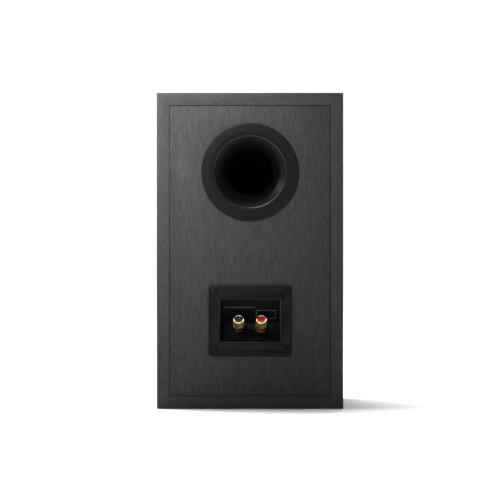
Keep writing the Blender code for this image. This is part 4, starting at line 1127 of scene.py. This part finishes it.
# %% [markdown]
# ### Polarity marks
#
# A plus and a minus are moulded into the plate in front of the posts, a fifth of a millimetre high.
# They could be a bump in the plastic's finish, but as geometry they catch the light at their edges
# from every side.


# %% Plus and minus
MARK = 0.0034
MARK_WIDTH = 0.0008
MARK_HEIGHT = 0.0002
MARK_UP = 0.0048  # how far up the plate they stand


def on_plate(obj, across, up):
    """Lays a part on the lower plate. up is its distance from the plate's outer edge."""
    way = Vector((0.0, -math.sin(PLATE_TILT), math.cos(PLATE_TILT)))
    place = Vector((across, cup_face - LEDGE, POCKET_LOW)) + way * up
    return stand(obj, place, math.degrees(PLATE_TILT) - 90)


def bar(name, width, length):
    """A raised bar about zero, sunk a little so that it joins the plate."""
    return block(name, (-width / 2, -length / 2, -0.0003), (width / 2, length / 2, MARK_HEIGHT))


unite(cup, on_plate(bar("minus", MARK, MARK_WIDTH), POST["black"].x, MARK_UP))
plus = bar("plus", MARK, MARK_WIDTH)
unite(plus, bar("plus_upright", MARK_WIDTH, MARK))
unite(cup, on_plate(plus, POST["red"].x, MARK_UP))
soften(cup, 0.00022, 2, 40)
dress(cup, matt_plastic, "terminal_cup")
print("plus at", round(POST["red"].x * 1000, 1), "minus at", round(POST["black"].x * 1000, 1))

# %% [markdown]
# ### The polished rim
#
# The mould is polished where it forms the window's rim, so a thin line of light runs round it. The
# piece gets a second finish in a second slot, and the faces of the slope are found by their place and
# by the way that they face.


# %% A satin finish on the sloping faces
def on_slope(face):
    """Whether a face belongs to the window's sloping rim."""
    at, way = face.center, face.normal
    near = POCKET_LOW - 0.001 < at.z < POCKET_HIGH + 0.001 and abs(at.x) < POCKET_HALF + 0.001
    return near and at.y > cup_face - 0.0007 and 0.4 < way.y < 0.9


cup.data.materials.append(satin_plastic)
for face in cup.data.polygons:
    if on_slope(face):
        face.material_index = 1
satin_faces = sum(face.material_index for face in cup.data.polygons)
print("cup faces:", len(cup.data.polygons), "of them satin:", satin_faces)

# %% [markdown]
# ### Printed lines
#
# The rule and the empty frame on the wall above the posts are pad printing. Ink has almost no
# thickness, but laying thin strips on the wall keeps their edges crisp from close by, where a painted
# pattern would blur.


# %% A rule and an empty frame
ink = fibrous("printed_ink", (0.10,) * 3, (0.17,) * 3, (1500.0,) * 3, 0.6, 0.000004, 0.2)
INK_HEIGHT = 0.00005
RULE_WIDTH = 0.00035


def on_wall(obj):
    """Lays a part drawn against the wall's top edge onto the wall. Its Z runs up the wall."""
    return stand(obj, (0.0, cup_face - POCKET_TOP, POCKET_HIGH), -math.degrees(wall_angle))


def printed(name, *strips):
    """Strips of ink as one mesh. Each is x from, x to, then its height from and to, seen level."""
    made = None
    for x0, x1, z0, z1 in strips:
        low, high = ((z - POCKET_HIGH) / math.cos(wall_angle) for z in (z0, z1))
        strip = block(name, (min(x0, x1), 0.00001, low), (max(x0, x1), INK_HEIGHT, high))
        made = strip if made is None else unite(made, strip)
    return on_wall(made)


RULE_UP = 0.0977
FRAME_LEFT, FRAME_RIGHT = -0.0064, -0.0246
FRAME_LOW, FRAME_HIGH = 0.0868, 0.0947
rule = printed("printed_rule", (0.0250, -0.0050, RULE_UP, RULE_UP + RULE_WIDTH))
empty_frame = printed(
    "printed_frame",
    (FRAME_LEFT, FRAME_RIGHT, FRAME_LOW, FRAME_LOW + RULE_WIDTH),
    (FRAME_LEFT, FRAME_RIGHT, FRAME_HIGH, FRAME_HIGH + RULE_WIDTH),
    (FRAME_LEFT, FRAME_LEFT + RULE_WIDTH, FRAME_LOW, FRAME_HIGH + RULE_WIDTH),
    (FRAME_RIGHT, FRAME_RIGHT + RULE_WIDTH, FRAME_LOW, FRAME_HIGH + RULE_WIDTH),
)
for lines in (rule, empty_frame):
    lines.data.materials.clear()
    lines.data.materials.append(ink)
    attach(lines, "cabinet")
print("printed pieces:", rule.name, empty_frame.name)


# %% [markdown]
# ### The gasket
#
# A strip of closed foam seals the flange to the panel. It is squeezed flat between them, so it is a
# thin plate with soft edges and the flange's outline. A simulated cushion would bulge where the real
# strip can't, and would swell into its neighbours.

# %% The foam gasket
gasket_low, gasket_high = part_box("terminal_gasket")
gasket_start, gasket_end = gasket_low.y - PAST, gasket_high.y + PAST
GASKET_WINDOW = 0.0325  # half the width of its window
GASKET_WINDOW_LOW, GASKET_WINDOW_HIGH = 0.0606, 0.1090
closed_foam = fibrous(
    "closed_cell_foam", (0.010, 0.010, 0.011), (0.034, 0.034, 0.036), (1500.0,) * 3, 0.9, 0.0001
)

gasket = block("foam_gasket", gasket_low, gasket_high)
round_edges(gasket, lambda a, b: abs(a.y - b.y) > 0.0003, 0.0022, 6)
window_low = (-GASKET_WINDOW, gasket_start, GASKET_WINDOW_LOW)
cut(gasket, block("gasket_window", window_low, (GASKET_WINDOW, gasket_end, GASKET_WINDOW_HIGH)))
for x, z in four(SCREW_X, SCREW_Z):
    cut(gasket, along_y("hole", 0.0019, (x, cup_height + z), gasket_start, gasket_end, 24))
soften(gasket, 0.00012, 2, 40)
dress(gasket, closed_foam, "terminal_gasket")
print("gasket faces:", len(gasket.data.polygons))

# %% [markdown]
# ### The screws
#
# The screws have a low round head with a cross recess. One screw is modelled for each size and copied
# with a mesh of its own for each place. Every copy gets a turn of its own, because nobody stops
# tightening when the slots line up. A thread this coarse is drawn as a zigzag in the turned section:
# only its rings would ever show, and they cost a few faces where a real helix costs thousands.


# %% A screw with a cross recess
def cross_screw(name, head, height, shank, length):
    """A screw that points down, with the top of its head at zero."""
    crown = arc((0.0, -height * 0.62), (head, height * 0.62), 90, 8, 10)
    pitch = 0.0011
    outline = [*crown, (head * 0.985, -height), (shank, -height)]
    z = -height - 0.001
    while z > -length + 0.003:
        outline += [(shank, z), (shank * 0.74, z - pitch * 0.45)]
        z -= pitch
    outline += [(shank * 0.70, -length + 0.002), (0.0, -length)]
    made = turned(name, outline, 40)
    arm = head * 0.56
    wing = head * 0.105
    floor = -height * 0.92
    cross = block("cross", (-arm, -wing, floor), (arm, wing, 0.001))
    unite(cross, block("cross_arm", (-wing, -arm, floor), (wing, arm, 0.001)))
    unite(cross, rod("cross_middle", head * 0.20, floor, 0.001, 16))
    cut(made, cross)
    return soften(made, head * 0.022, 2, 50)


def place_screws(model, kind, count, tilt):
    """Puts a copy of the screw wherever the plain model has one."""
    for number in range(1, count + 1):
        plain = f"{kind}_screw_{number}"
        low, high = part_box(plain)
        piece = duplicate(model, f"{kind}_fixing_{number}")
        alone(piece)
        piece.rotation_euler = (0.0, 0.0, math.radians(17 + 67 * number))
        settle(piece)
        top = high.y if tilt < 0 else low.y
        stand(piece, ((low.x + high.x) / 2, top, (low.z + high.z) / 2), tilt)
        dress(piece, black_oxide, plain)
    bpy.data.objects.remove(model)


def screw_like(plain, height, shank):
    """A screw with the head width and the length of a plain one."""
    low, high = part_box(plain)
    return cross_screw("screw_model", (high.x - low.x) / 2, height, shank, high.y - low.y)


for kind, head_height, shank, tilt in (
    ("terminal", 0.0015, 0.0015, -90),
    ("woofer", 0.0015, 0.0015, 90),
    ("tweeter", 0.0013, 0.0013, 90),
):
    place_screws(screw_like(f"{kind}_screw_1", head_height, shank), kind, 4, tilt)

# %% [markdown]
# ## The binding posts
#
# Each post is a threaded stud through an insulating collar, a washer that clamps a bare wire, a
# knurled cap and a small plug that closes the cap's socket. Heights count along the post from the
# plate. The cap is turned with rows of squares round its grip, which the next step makes a knurl.

# %% The cap before knurling
CAP_START, CAP_END = 0.0053, 0.0161
CAP_RADIUS = 0.0055
KNURL_START, KNURL_END = 0.0066, 0.0143
KNURL_DEPTH = 0.00030
KNURL_ROWS = 12
KNURL_COLUMNS = 54
RIM_START = 0.0149
GRIP = CAP_RADIUS - KNURL_DEPTH  # the grip's radius before knurling


def cap_blank(name):
    """The cap with a smooth grip, split into rows and columns of squares."""
    rows = [KNURL_START + (KNURL_END - KNURL_START) * row / KNURL_ROWS for row in range(KNURL_ROWS + 1)]
    outline = [
        (0.0033, CAP_START),
        (GRIP - 0.0005, CAP_START),
        (GRIP - 0.0001, CAP_START + 0.0004),
        (GRIP - 0.0001, KNURL_START - 0.0004),
        *((GRIP, z) for z in rows),
        (GRIP - 0.0002, KNURL_END + 0.0002),
        (GRIP - 0.0002, RIM_START),
        (0.0045, RIM_START),
        (0.0045, 0.0141),
        (0.0033, 0.0141),
    ]
    return turned(name, outline, KNURL_COLUMNS)


cap_model = cap_blank("cap_model")
print("blank cap faces:", len(cap_model.data.polygons))

# %% [markdown]
# ### Knurling
#
# A knurl is rolled into the brass as rows of pointed diamonds. Each square of the grip is poked, which
# joins its middle to its four corners. Dissolving the squares' own edges then leaves diamonds, and a
# second poke pulls the middle of each one out to a point. An array of small pyramids could do it too,
# but this way the knurl is one closed skin with the cap.


# %% Diamonds from squares
def poke_picked(offset):
    """Splits the picked faces into triangles round a middle that is raised by the offset."""
    bpy.ops.object.mode_set(mode="EDIT")
    bpy.ops.mesh.poke(offset=offset)
    bpy.ops.object.mode_set(mode="OBJECT")


def knurled(cap):
    """Turns the squares of a blank cap's grip into pointed diamonds."""
    low = KNURL_START - WELD
    high = KNURL_END + WELD

    def on_grip(point):
        return low < point.z < high and math.hypot(point.x, point.y) > GRIP - 0.00003

    nothing_picked(cap, "FACE")
    points = cap.data.vertices
    corners = {point.index for point in points if on_grip(point.co)}
    for face in cap.data.polygons:
        face.select = corners.issuperset(face.vertices)
    poke_picked(0.0)
    inner = {i for i in corners if low + 0.0001 < points[i].co.z < high - 0.0001}
    nothing_picked(cap, "EDGE")
    for edge in cap.data.edges:
        edge.select = corners.issuperset(edge.vertices) and not inner.isdisjoint(edge.vertices)
    bpy.ops.object.mode_set(mode="EDIT")
    bpy.ops.mesh.dissolve_edges(use_verts=False, use_face_split=False)
    bpy.ops.object.mode_set(mode="OBJECT")
    nothing_picked(cap, "FACE")
    for face in cap.data.polygons:
        middle = face.center
        radius = math.hypot(middle.x, middle.y)
        face.select = len(face.vertices) == 4 and low < middle.z < high and radius > GRIP - 0.0001
    poke_picked(KNURL_DEPTH)
    return shade(cap, 24)


knurled(cap_model)
print("knurled cap faces:", len(cap_model.data.polygons))

# %% [markdown]
# ### The caps and their rings
#
# The ring at the end of each cap is a piece of its own with a finish of its own, in gold's own bright
# colour, while the rest of the cap carries gold darkened with painted shade. The ring rides on the
# same body as the cap.


# %% Caps and rings on both posts
def bright_ring(name):
    """The polished ring at the cap's end, with the mouth that the plug sits in."""
    edge = 0.0006
    mouth = 0.0039
    outline = [
        (mouth, 0.0142),
        (0.0044, 0.0142),
        (0.0044, RIM_START + 0.0001),
        (CAP_RADIUS - 0.0003, RIM_START + 0.0001),
        (CAP_RADIUS, RIM_START + 0.0003),
        *arc((CAP_RADIUS - edge, CAP_END - edge), (edge, edge), 0, 90, 6),
        *arc((mouth + edge, CAP_END - edge), (edge, edge), 90, 180, 6),
    ]
    return shade(turned(name, outline, 96), 24)


# Each cap's knurled gold carries painted shade; its end ring keeps gold's own colour.
for colour in POST:
    cap = on_post(duplicate(cap_model, f"{colour}_cap"), colour)
    dress(cap, gold_plate, f"{colour}_post_cap")
    dress(on_post(bright_ring(f"{colour}_cap_rim"), colour), gold_bright, f"{colour}_post_cap")
bpy.data.objects.remove(cap_model)
print("caps on:", sorted(POST))


# %% [markdown]
# ### The stud
#
# Threads this fine read as rings, so a thread is a zigzag in the stud's outline, as on the screws. The
# stud has a socket for a banana plug down its axis and a cross hole for a bare wire.


# %% A threaded stud
def threaded(start, end, radius, pitch, depth):
    """Zigzag points up or down a thread."""
    step = pitch if end > start else -pitch
    count = int((end - start) / step)
    found = []
    for turn in range(count):
        z = start + step * turn
        found += [(radius - depth, z), (radius, z + step * 0.4), (radius, z + step * 0.6)]
    return [*found, (radius - depth, end)]


def post_stud(name):
    """The stud: the socket first, then the upper thread, a plain waist and the lower thread."""
    outline = [
        (0.0, 0.0077),
        (0.0018, 0.0077),
        (0.0020, 0.0079),
        (0.0020, 0.0139),
        (0.0022, 0.0141),
        *threaded(0.0140, 0.0048, 0.0030, 0.0008, 0.00028),
        (0.0030, 0.0044),
        (0.0030, 0.0040),
        (0.0020, 0.0040),
        (0.0020, -0.0015),
        *threaded(-0.0016, -0.0125, 0.0020, 0.0007, 0.00022),
        (0.0014, -0.0130),
        (0.0, -0.0130),
    ]
    stud = turned(name, outline, 48)
    bore = rod("wire_hole", 0.0011, -0.004, 0.004, 24)
    bore.rotation_euler = (0.0, math.radians(90), 0.0)
    bore.location = (0.0, 0.0, 0.0056)
    settle(bore)
    cut(stud, bore)
    return shade(stud, 30)


# The studs' gold carries painted shade.
for colour in POST:
    stud = dress(on_post(post_stud(f"{colour}_stud"), colour), gold_plate, f"{colour}_post_stud")
    print(stud.name, "faces:", len(stud.data.polygons))

# %% [markdown]
# ### Washer, collar, plug and nut
#
# The rest of a post is small rings and pins. The nut is a six-sided rod that is intersected with a
# turned shape, which is how a real nut gets its curved chamfers too.


# %% The small parts of both posts
def ring_part(name, inner, outer, low, high, edge, steps=72):
    """A washer or a collar with round edges."""
    outline = [
        (inner, low),
        *arc((outer - edge, low + edge), (edge, edge), 270, 360, 5),
        *arc((outer - edge, high - edge), (edge, edge), 0, 90, 5),
        *arc((inner + edge / 2, high - edge / 2), (edge / 2, edge / 2), 90, 180, 3),
    ]
    return shade(turned(name, outline, steps))


def post_plug(name):
    """The plug that closes a cap: a dished head on a pin that fits the stud's socket."""
    outline = [
        (0.0, 0.01512),
        *arc((0.0012, 0.01542), (0.0003, 0.0003), 270, 350, 4),
        *arc((0.0018, 0.0154), (0.0002, 0.0002), 160, 90, 3),
        *arc((0.0033, 0.0153), (0.0003, 0.0003), 90, 0, 4),
        (0.0036, 0.0144),
        (0.0017, 0.0144),
        (0.0017, 0.0083),
        (0.0014, 0.0080),
        (0.0, 0.0080),
    ]
    return shade(turned(name, outline, 64))


def hex_nut(name, radius, inner, low, high):
    """A six-sided rod, intersected with a shape whose rims slope at thirty degrees."""
    nut = rod(name, radius, low, high, 6)
    rim = radius * 0.86
    slope = (radius - radius * 0.86) * math.tan(math.radians(30))
    sides = [(radius, low + slope), (radius, high - slope)]
    outline = [(0.0, low), (rim, low), *sides, (rim, high), (0.0, high)]
    modify(nut, "BOOLEAN", operation="INTERSECT", solver="EXACT", object=turned("rims", outline, 72))
    bpy.data.objects.remove(bpy.data.objects["rims"])
    cut(nut, rod("bore", inner, low - 0.001, high + 0.001, 32))
    return shade(nut, 20)


# The red collar's resin is painted shade, far darker than the plug's red.
RESINS = {"red": (red_plastic, red_collar_painted_shade), "black": (gloss_plastic, gloss_plastic)}
# The washers' gold carries painted shade.
for colour, (plug_resin, collar_resin) in RESINS.items():
    stem = f"{colour}_post"
    collar = ring_part(f"{colour}_collar", 0.0023, 0.0062, 0.0003, 0.0037, 0.0006)
    dress(on_post(collar, colour), collar_resin, f"{stem}_collar")
    washer = ring_part(f"{colour}_washer", 0.0033, 0.0050, 0.0040, 0.0050, 0.0002, 56)
    dress(on_post(washer, colour), gold_plate, f"{stem}_washer")
    dress(on_post(post_plug(f"{colour}_plug"), colour), plug_resin, f"{stem}_plug")
    nut = hex_nut(f"{colour}_nut", 0.0040, 0.0023, -0.0053, -0.0023)
    dress(on_post(nut, colour), zinc_steel, f"{stem}_nut")


# %% [markdown]
# ## The woofer
#
# A woofer is a stack of turned parts on one axis: a steel basket, a rubber surround, a paper cone, a
# dust cap, a waved cloth spider and the motor behind. Depths count inwards from the baffle's face.
# Sheets such as the cone are drawn as one line through their middle, and a helper walks along that
# line and lays an outline on both sides of it at an even thickness.


# %% Sheets and driver helpers
def sheet_outline(line, thickness):
    """An outline of even thickness about an open line of (radius, depth) points."""
    left, right = [], []
    for i, point in enumerate(line):
        before = Vector(line[max(i - 1, 0)])
        after = Vector(line[min(i + 1, len(line) - 1)])
        way = (after - before).normalized()
        across = Vector((-way.y, way.x)) * thickness / 2
        left.append(tuple(Vector(point) + across))
        right.append(tuple(Vector(point) - across))
    return left + right[::-1]


def axis_outline(line, thickness):
    """The same for a line that starts on the axis, where both sides have to end."""
    outline = sheet_outline(line, thickness)
    outline[0] = (0.0, outline[0][1])
    outline[-1] = (0.0, outline[-1][1])
    return outline


def inward(outline):
    """Turns depths into heights, which count the other way."""
    return [(radius, -depth) for radius, depth in outline]


def at_driver(obj, height):
    """Stands an upright part on the baffle's face, looking out of the front."""
    return stand(obj, (0.0, baffle_face, height), 90)


def flange_seats(obj, circle):
    """Sinks four screw seats into an upright flange."""
    reach = circle * math.sqrt(0.5)
    for x, y in four(reach, reach):
        seat = rod("seat", HEAD_SEAT, -HEAD_SEAT_DEPTH, 0.001, 40)
        hole = rod("hole", PILOT, -0.010, 0.001, 24)
        for cutter in (seat, hole):
            cutter.location = (x, y, 0.0)
            cut(obj, settle(cutter))
    return obj


print("baffle face at", round(baffle_face * 1000, 1), "mm")

# %% [markdown]
# ### Parts that stretch
#
# The surround and the spider are rings that are held at one edge and carried by the cone at the other.
# A piece that rides on one body would tear off at one of its edges, so each is blended between the two
# bodies. A blend runs along a line, but these rings stretch by their radius, so the share of each
# point is worked out again from its distance to the axis.


# %% A blend by radius
def follow_by_radius(obj, height, still, moving):
    """Lets a flexible ring stand still at one radius and follow the cone at another."""
    centre = Vector((0.0, baffle_face, height))
    start = centre + Vector((still, 0.0, 0.0))
    end = centre + Vector((moving, 0.0, 0.0))
    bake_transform(obj, "cabinet", "woofer_cone_assembly", start, end)
    weights = obj.data.attributes["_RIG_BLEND"].data
    for point, weight in zip(obj.data.vertices, weights):
        radius = math.hypot(point.co.x, point.co.z - height)
        weight.value = min(1.0, max(0.0, (radius - still) / (moving - still)))


def dress_ring(obj, finish, plain, height, still, moving):
    """Gives a flexible ring its finish and slot, and lets it follow the cone by its radius."""
    obj.data.materials.clear()
    obj.data.materials.append(finish)
    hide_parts(plain)
    follow_by_radius(obj, height, still, moving)


print("moving body:", BODY_OF["woofer_cone"])

# %% [markdown]
# ### Basket
#
# The basket is turned with its flange, then three long blocks are pushed right through it, each turned
# by 60 degrees, to open its six windows. A pressed steel basket has its windows punched out in the
# same way, straight through.

# %% Basket with six windows
FLANGE_ROUND = 0.0008
frame_outline = [
    (0.0575, 0.0015),
    (0.0575, 0.0002),
    (0.0577, 0.0),
    (0.0590, 0.0),
    (0.0594, 0.0003),
    (0.0646, 0.0003),
    *arc((0.0665 - FLANGE_ROUND, FLANGE_ROUND), (FLANGE_ROUND, -FLANGE_ROUND), 90, 0, 5),
    (0.0665, 0.0040),
    (0.0569, 0.0040),
    (0.0569, 0.0062),
    *arc((0.0425, 0.0415), (0.0015, 0.0015), 8, 90, 4),
    (0.0200, 0.0430),
    (0.0200, 0.0408),
    (0.0383, 0.0408),
    (0.0426, 0.0286),
    (0.0461, 0.0286),
    (0.0547, 0.0062),
    (0.0547, 0.0015),
]
basket = turned("woofer_frame", inward(frame_outline), 120)
for number in range(3):
    window = block("window", (-0.07, -0.013, -0.0253), (0.07, 0.013, -0.0092))
    window.rotation_euler = (0.0, 0.0, math.radians(60 * number + 30))
    cut(basket, settle(window))
flange_seats(basket, WOOFER_SCREWS)
dress(shade(at_driver(basket, woofer_height), 28), basket_paint, "woofer_basket")
print("basket faces:", len(basket.data.polygons))

# %% [markdown]
# ### Surround and spider
#
# The surround's half roll lets the cone travel without touching the frame. Its outer edge stands
# still while its inner edge moves. The spider works the same way at the coil, with waves in place of a
# roll. Both are drawn as a line through the middle of the sheet.

# %% The two flexible rings
SHEET = 0.0009
SPIDER_OUTER, SPIDER_INNER = 0.0452, 0.0132
SPIDER_DEPTH = 0.0270
roll = arc((0.0500, 0.00075), (0.0048, -0.0048), 0, 180, 20)
surround_line = [(0.0572, 0.00075), (0.0556, 0.00075), *roll, (0.0436, 0.00075), (0.0418, 0.00075)]
surround = turned("woofer_roll", inward(sheet_outline(surround_line, SHEET)), 120)
shade(at_driver(surround, woofer_height))
dress_ring(surround, rubber, "woofer_surround", woofer_height, 0.0548, 0.0452)

spider_line = []
for step in range(49):
    share = step / 48
    wave = 0.0008 * math.cos(share * math.tau * 3) * (1 if 0.02 < share < 0.98 else 0.9)
    radius = SPIDER_OUTER + (SPIDER_INNER - SPIDER_OUTER) * share
    spider_line.append((radius, SPIDER_DEPTH + wave))
spider = turned("cloth_spider", inward(sheet_outline(spider_line, 0.0008)), 96)
shade(at_driver(spider, woofer_height))
dress_ring(spider, spider_cloth, "woofer_spider", woofer_height, SPIDER_OUTER, SPIDER_INNER)
print("surround and spider faces:", len(surround.data.polygons), len(spider.data.polygons))

# %% [markdown]
# ### Cone and dust cap
#
# The cone isn't straight: its side bulges a little, which makes thin paper stiffer. A sine of the share
# of the way down gives that bulge. The dust cap is an arc that starts on the axis.

# %% The cone and its cap
CONE_LEVEL = 0.0020
CONE_WIDE, CONE_NARROW = 0.0418, 0.0135
cone_line = [(0.0447, CONE_LEVEL)]
for step in range(15):
    share = step / 14
    sag = 0.0016 * math.sin(math.pi * share)
    radius = CONE_WIDE + (CONE_NARROW - CONE_WIDE) * share
    cone_line.append((radius, CONE_LEVEL + 0.0185 * share + sag))
cone = at_driver(turned("paper_cone", inward(sheet_outline(cone_line, 0.0010)), 120), woofer_height)
dress(shade(cone), cone_pulp, "woofer_cone")

cap_low, cap_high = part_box("woofer_dust_cap")
cap_base = cap_high.y - baffle_face
cap_top = cap_low.y - baffle_face
cap_line = arc((0.0, cap_base), (0.01665, cap_top - cap_base + 0.00035), 90, 4, 16)
dust_cap = at_driver(turned("dust_dome", inward(axis_outline(cap_line, 0.0007)), 96), woofer_height)
dress(shade(dust_cap), cap_sheet, "woofer_dust_cap")
print("cone and dust cap faces:", len(cone.data.polygons), len(dust_cap.data.polygons))

# %% [markdown]
# ## The tweeter
#
# The faceplate's shallow horn guides the sound of the small dome. A fine groove runs round the plate
# inside its screws, as on most moulded faceplates. The plate could be a disc with a cone cut into it,
# but a turned section gives the horn its curve at once.

# %% The faceplate
plate_outline = [
    *arc((0.0300, 0.0038), (-0.0138, -0.0038), 90, 0, 18),
    (0.0162, 0.0050),
    (0.0340, 0.0050),
    (0.0340, 0.0035),
    (0.0450, 0.0035),
    *arc((0.0450 - FLANGE_ROUND, FLANGE_ROUND), (FLANGE_ROUND, -FLANGE_ROUND), 0, 90, 5),
    (0.0338, 0.0),
    (0.0335, 0.0003),
    (0.0328, 0.0003),
    (0.0325, 0.0),
]
face = turned("tweeter_plate", inward(plate_outline), 120)
flange_seats(face, TWEETER_SCREWS)
dress(shade(at_driver(face, tweeter_height), 28), matt_plastic, "tweeter_faceplate")
print("faceplate faces:", len(face.data.polygons))

# %% [markdown]
# ### The dome
#
# Dome and roll are one piece of coated silk, pressed to shape, so one line draws both. The roll's
# travel is a third of a millimetre, too small to need a blend, so the whole piece rides on the dome.

# %% Dome and roll
DOME = 0.0125
DOME_SEAT = 0.0062
dome_line = arc((0.0, DOME_SEAT), (DOME, -0.0045), 90, 0, 18)
dome_line += arc((DOME + 0.0020, DOME_SEAT), (-0.0015, -0.0015), 0, 180, 12)[1:]
dome = at_driver(turned("silk_dome", inward(axis_outline(dome_line, 0.0005)), 96), tweeter_height)
dress(shade(dome), silk, "tweeter_dome")
print("dome faces:", len(dome.data.polygons))

# %% [markdown]
# ## Inside the box
#
# Nobody sees these parts from outside, but a faint view through the port is enough for one of them to
# spoil the black throat. So the metal and the magnet behind the tweeter are near black, which is
# painted shade that keeps the throat dark, and the walls around it carry a lining of soft foam. The
# foam is one folded sheet. Its edges are rounded widely and a displacement makes its skin uneven,
# since cut foam is never flat.

# %% The foam lining
foam_low, foam_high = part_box("damping_foam")
FOAM = 0.012
FOAM_EDGE = 0.0026
FOAM_UNEVEN = 0.0006


def foam_sheet():
    """The lining as one soft skin: cut to shape, rounded, remeshed and made uneven."""
    made = block("foam_lining", foam_low, foam_high)
    inside_low = (foam_low.x + FOAM, foam_low.y - 0.01, foam_low.z - 0.01)
    inside_high = (foam_high.x - FOAM, foam_high.y + 0.01, foam_high.z - FOAM)
    cut(made, block("foam_inside", inside_low, inside_high))
    round_edges(made, lambda a, b: True, FOAM_EDGE, 3)
    modify(made, "REMESH", mode="VOXEL", voxel_size=0.0021)
    rough = bpy.data.textures.new("foam_texture", "CLOUDS")
    rough.noise_scale = 0.011
    modify(made, "DISPLACE", texture=rough, strength=FOAM_UNEVEN, mid_level=1.0, texture_coords="LOCAL")
    return shade(made, 60)


lining = foam_sheet()
dress(lining, open_foam, "damping_foam")
print("foam faces:", len(lining.data.polygons))

# %% [markdown]
# ### Better finishes for the plain parts
#
# The motors, the filter and the leads are turned or bent shapes that are good enough as they are.
# Each only gets a finish with some life in it. The finish goes into the part's own slot.

# %% Finishes for the plain parts
# These two are painted shade: near black, so that the tweeter's plates and magnet stay dark seen through the
# port.
near_black_painted_shade = fibrous(
    "near_black_painted_shade", (0.0030, 0.0030, 0.0032), (0.0060, 0.0060, 0.0064), (260.0,) * 3, 0.55, 0.00001, 0.2
)
magnet_painted_shade = fibrous(
    "magnet_painted_shade", (0.0035, 0.0035, 0.0038), (0.0080, 0.0080, 0.0086), (600.0,) * 3, 0.62, 0.00006, 0.3
)

FINISH_OF = {
    "cabinet_brace": fibreboard,
    "woofer_voice_coil": driver_copper,
    "tweeter_voice_coil": driver_copper,
    "woofer_top_plate": zinc_steel,
    "woofer_magnet": ferrite,
    "woofer_yoke": zinc_steel,
    "tweeter_top_plate": near_black_painted_shade,
    "tweeter_magnet": magnet_painted_shade,
    "tweeter_yoke": near_black_painted_shade,
    "crossover_board": solder_mask,
    "woofer_inductor": filter_copper,
    "tweeter_inductor": filter_copper,
    "woofer_capacitor": film_wrap,
    "tweeter_capacitor": film_wrap,
    "input_lead": sleeve_black,
    "woofer_lead": sleeve_black,
    "tweeter_lead": sleeve_black,
}
for name, finish in FINISH_OF.items():
    refinish(name, finish)
print("plain parts with a new finish:", len(FINISH_OF))

# %% [markdown]
# ## The stage
#
# In a studio a product stands on a sheet of paper that curves up behind it, so that floor and wall run
# together. Here the sheet is spun all the way round into a wide bowl, so there is no corner or edge on
# any side. The bowl is matt and very pale, with a faint mottle.

# %% A seamless bowl
FLOOR_GAP = 0.0002
paper, paper_tree, paper_shader = new_finish("studio_paper", 0.85, specular=0.2)
paper_mottle = pattern(paper_tree, (1.6,) * 3, 3.0, 0.5)
paper_colour = ramp(paper_tree, paper_mottle, (0.2, (0.86, 0.86, 0.86)), (0.8, (0.89, 0.89, 0.89)))
paper_tree.links.new(paper_colour, paper_shader.inputs["Base Color"])

FLAT = 5.0  # radius of the flat floor
CURVE = 3.5  # radius of the curve up to the wall
WALL_TOP = 7.0
curve = arc((FLAT, CURVE), (CURVE, CURVE), 270, 360, 16)
bowl = turned("studio_floor", [(0.0, 0.0), (FLAT, 0.0), *curve, (FLAT + CURVE, WALL_TOP)], 96)
bowl.location.z = -FLOOR_GAP
settle(bowl)
shade(bowl, 40)
bowl.data.materials.append(paper)
bowl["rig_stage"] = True
print("bowl faces:", len(bowl.data.polygons))

# %% [markdown]
# ## The light
#
# The sky over the bowl is only a faint fill. Two big softboxes light the paper: one hangs high in front
# of the speaker's own front and lights the floor, and one lights the wall behind. They hardly reach
# the rear panel. What draws the rear is the key, a small lamp high on the left of the picture with a
# narrow beam that is aimed past the upper corner, so its light fades across the face. A thin strip at
# the side almost grazes the panel, which brings out the grain and the bead's inner edge, and a wide
# strip above gives the caps and the window's rim something to reflect.

# %% Softboxes and sky
SKY = 0.03
world = bpy.data.worlds.new("studio_sky")
bpy.context.scene.world = world
world.use_nodes = True
world.node_tree.nodes["Background"].inputs["Color"].default_value = (1.0, 1.0, 1.0, 1.0)
world.node_tree.nodes["Background"].inputs["Strength"].default_value = SKY


def softbox(name, place, aim, size, power, spread):
    """A rectangular lamp that is aimed at a point. spread is its beam's width in degrees."""
    bpy.ops.object.light_add(type="AREA", location=place)
    lamp = bpy.context.object
    lamp.name = name
    lamp.rotation_euler = (Vector(aim) - Vector(place)).to_track_quat("-Z", "Y").to_euler()
    lamp.data.shape = "RECTANGLE"
    lamp.data.size, lamp.data.size_y = size
    lamp.data.energy = power
    lamp.data.spread = math.radians(spread)
    return lamp


softbox("floor_softbox", (0.9, -1.5, 3.2), (0.2, -0.7, 0.0), (3.6, 2.4), 255.0, 140.0)
softbox("backdrop_softbox", (0.0, -4.0, 5.0), (0.0, -8.5, 0.8), (6.0, 3.0), 235.0, 150.0)
softbox("key_light", (0.30, 1.20, 0.945), (0.168, 0.1188, 0.362), (0.06, 0.06), 1.24, 26.9)
softbox("edge_strip", (0.75, 0.20, 0.66), (0.0, 0.1188, 0.19), (0.012, 0.10), 0.30, 55.0)
softbox("crown_strip", (0.0, 0.27, 0.85), (0.0, 0.11, 0.08), (0.26, 0.07), 0.15, 120.0)

# %% [markdown]
# ## Finishing
#
# The new parts have to keep to the plain model's size, since the moving parts and their clearances
# were worked out on it. Both boxes are printed at the end.

# %% Sizes, then the end
NEW_LOW, NEW_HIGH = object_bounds()
for axis, a, b in zip("xyz", CAD_HIGH - CAD_LOW, NEW_HIGH - NEW_LOW):
    print(axis, "plain", round(a * 1000, 2), "new", round(b * 1000, 2), "mm")
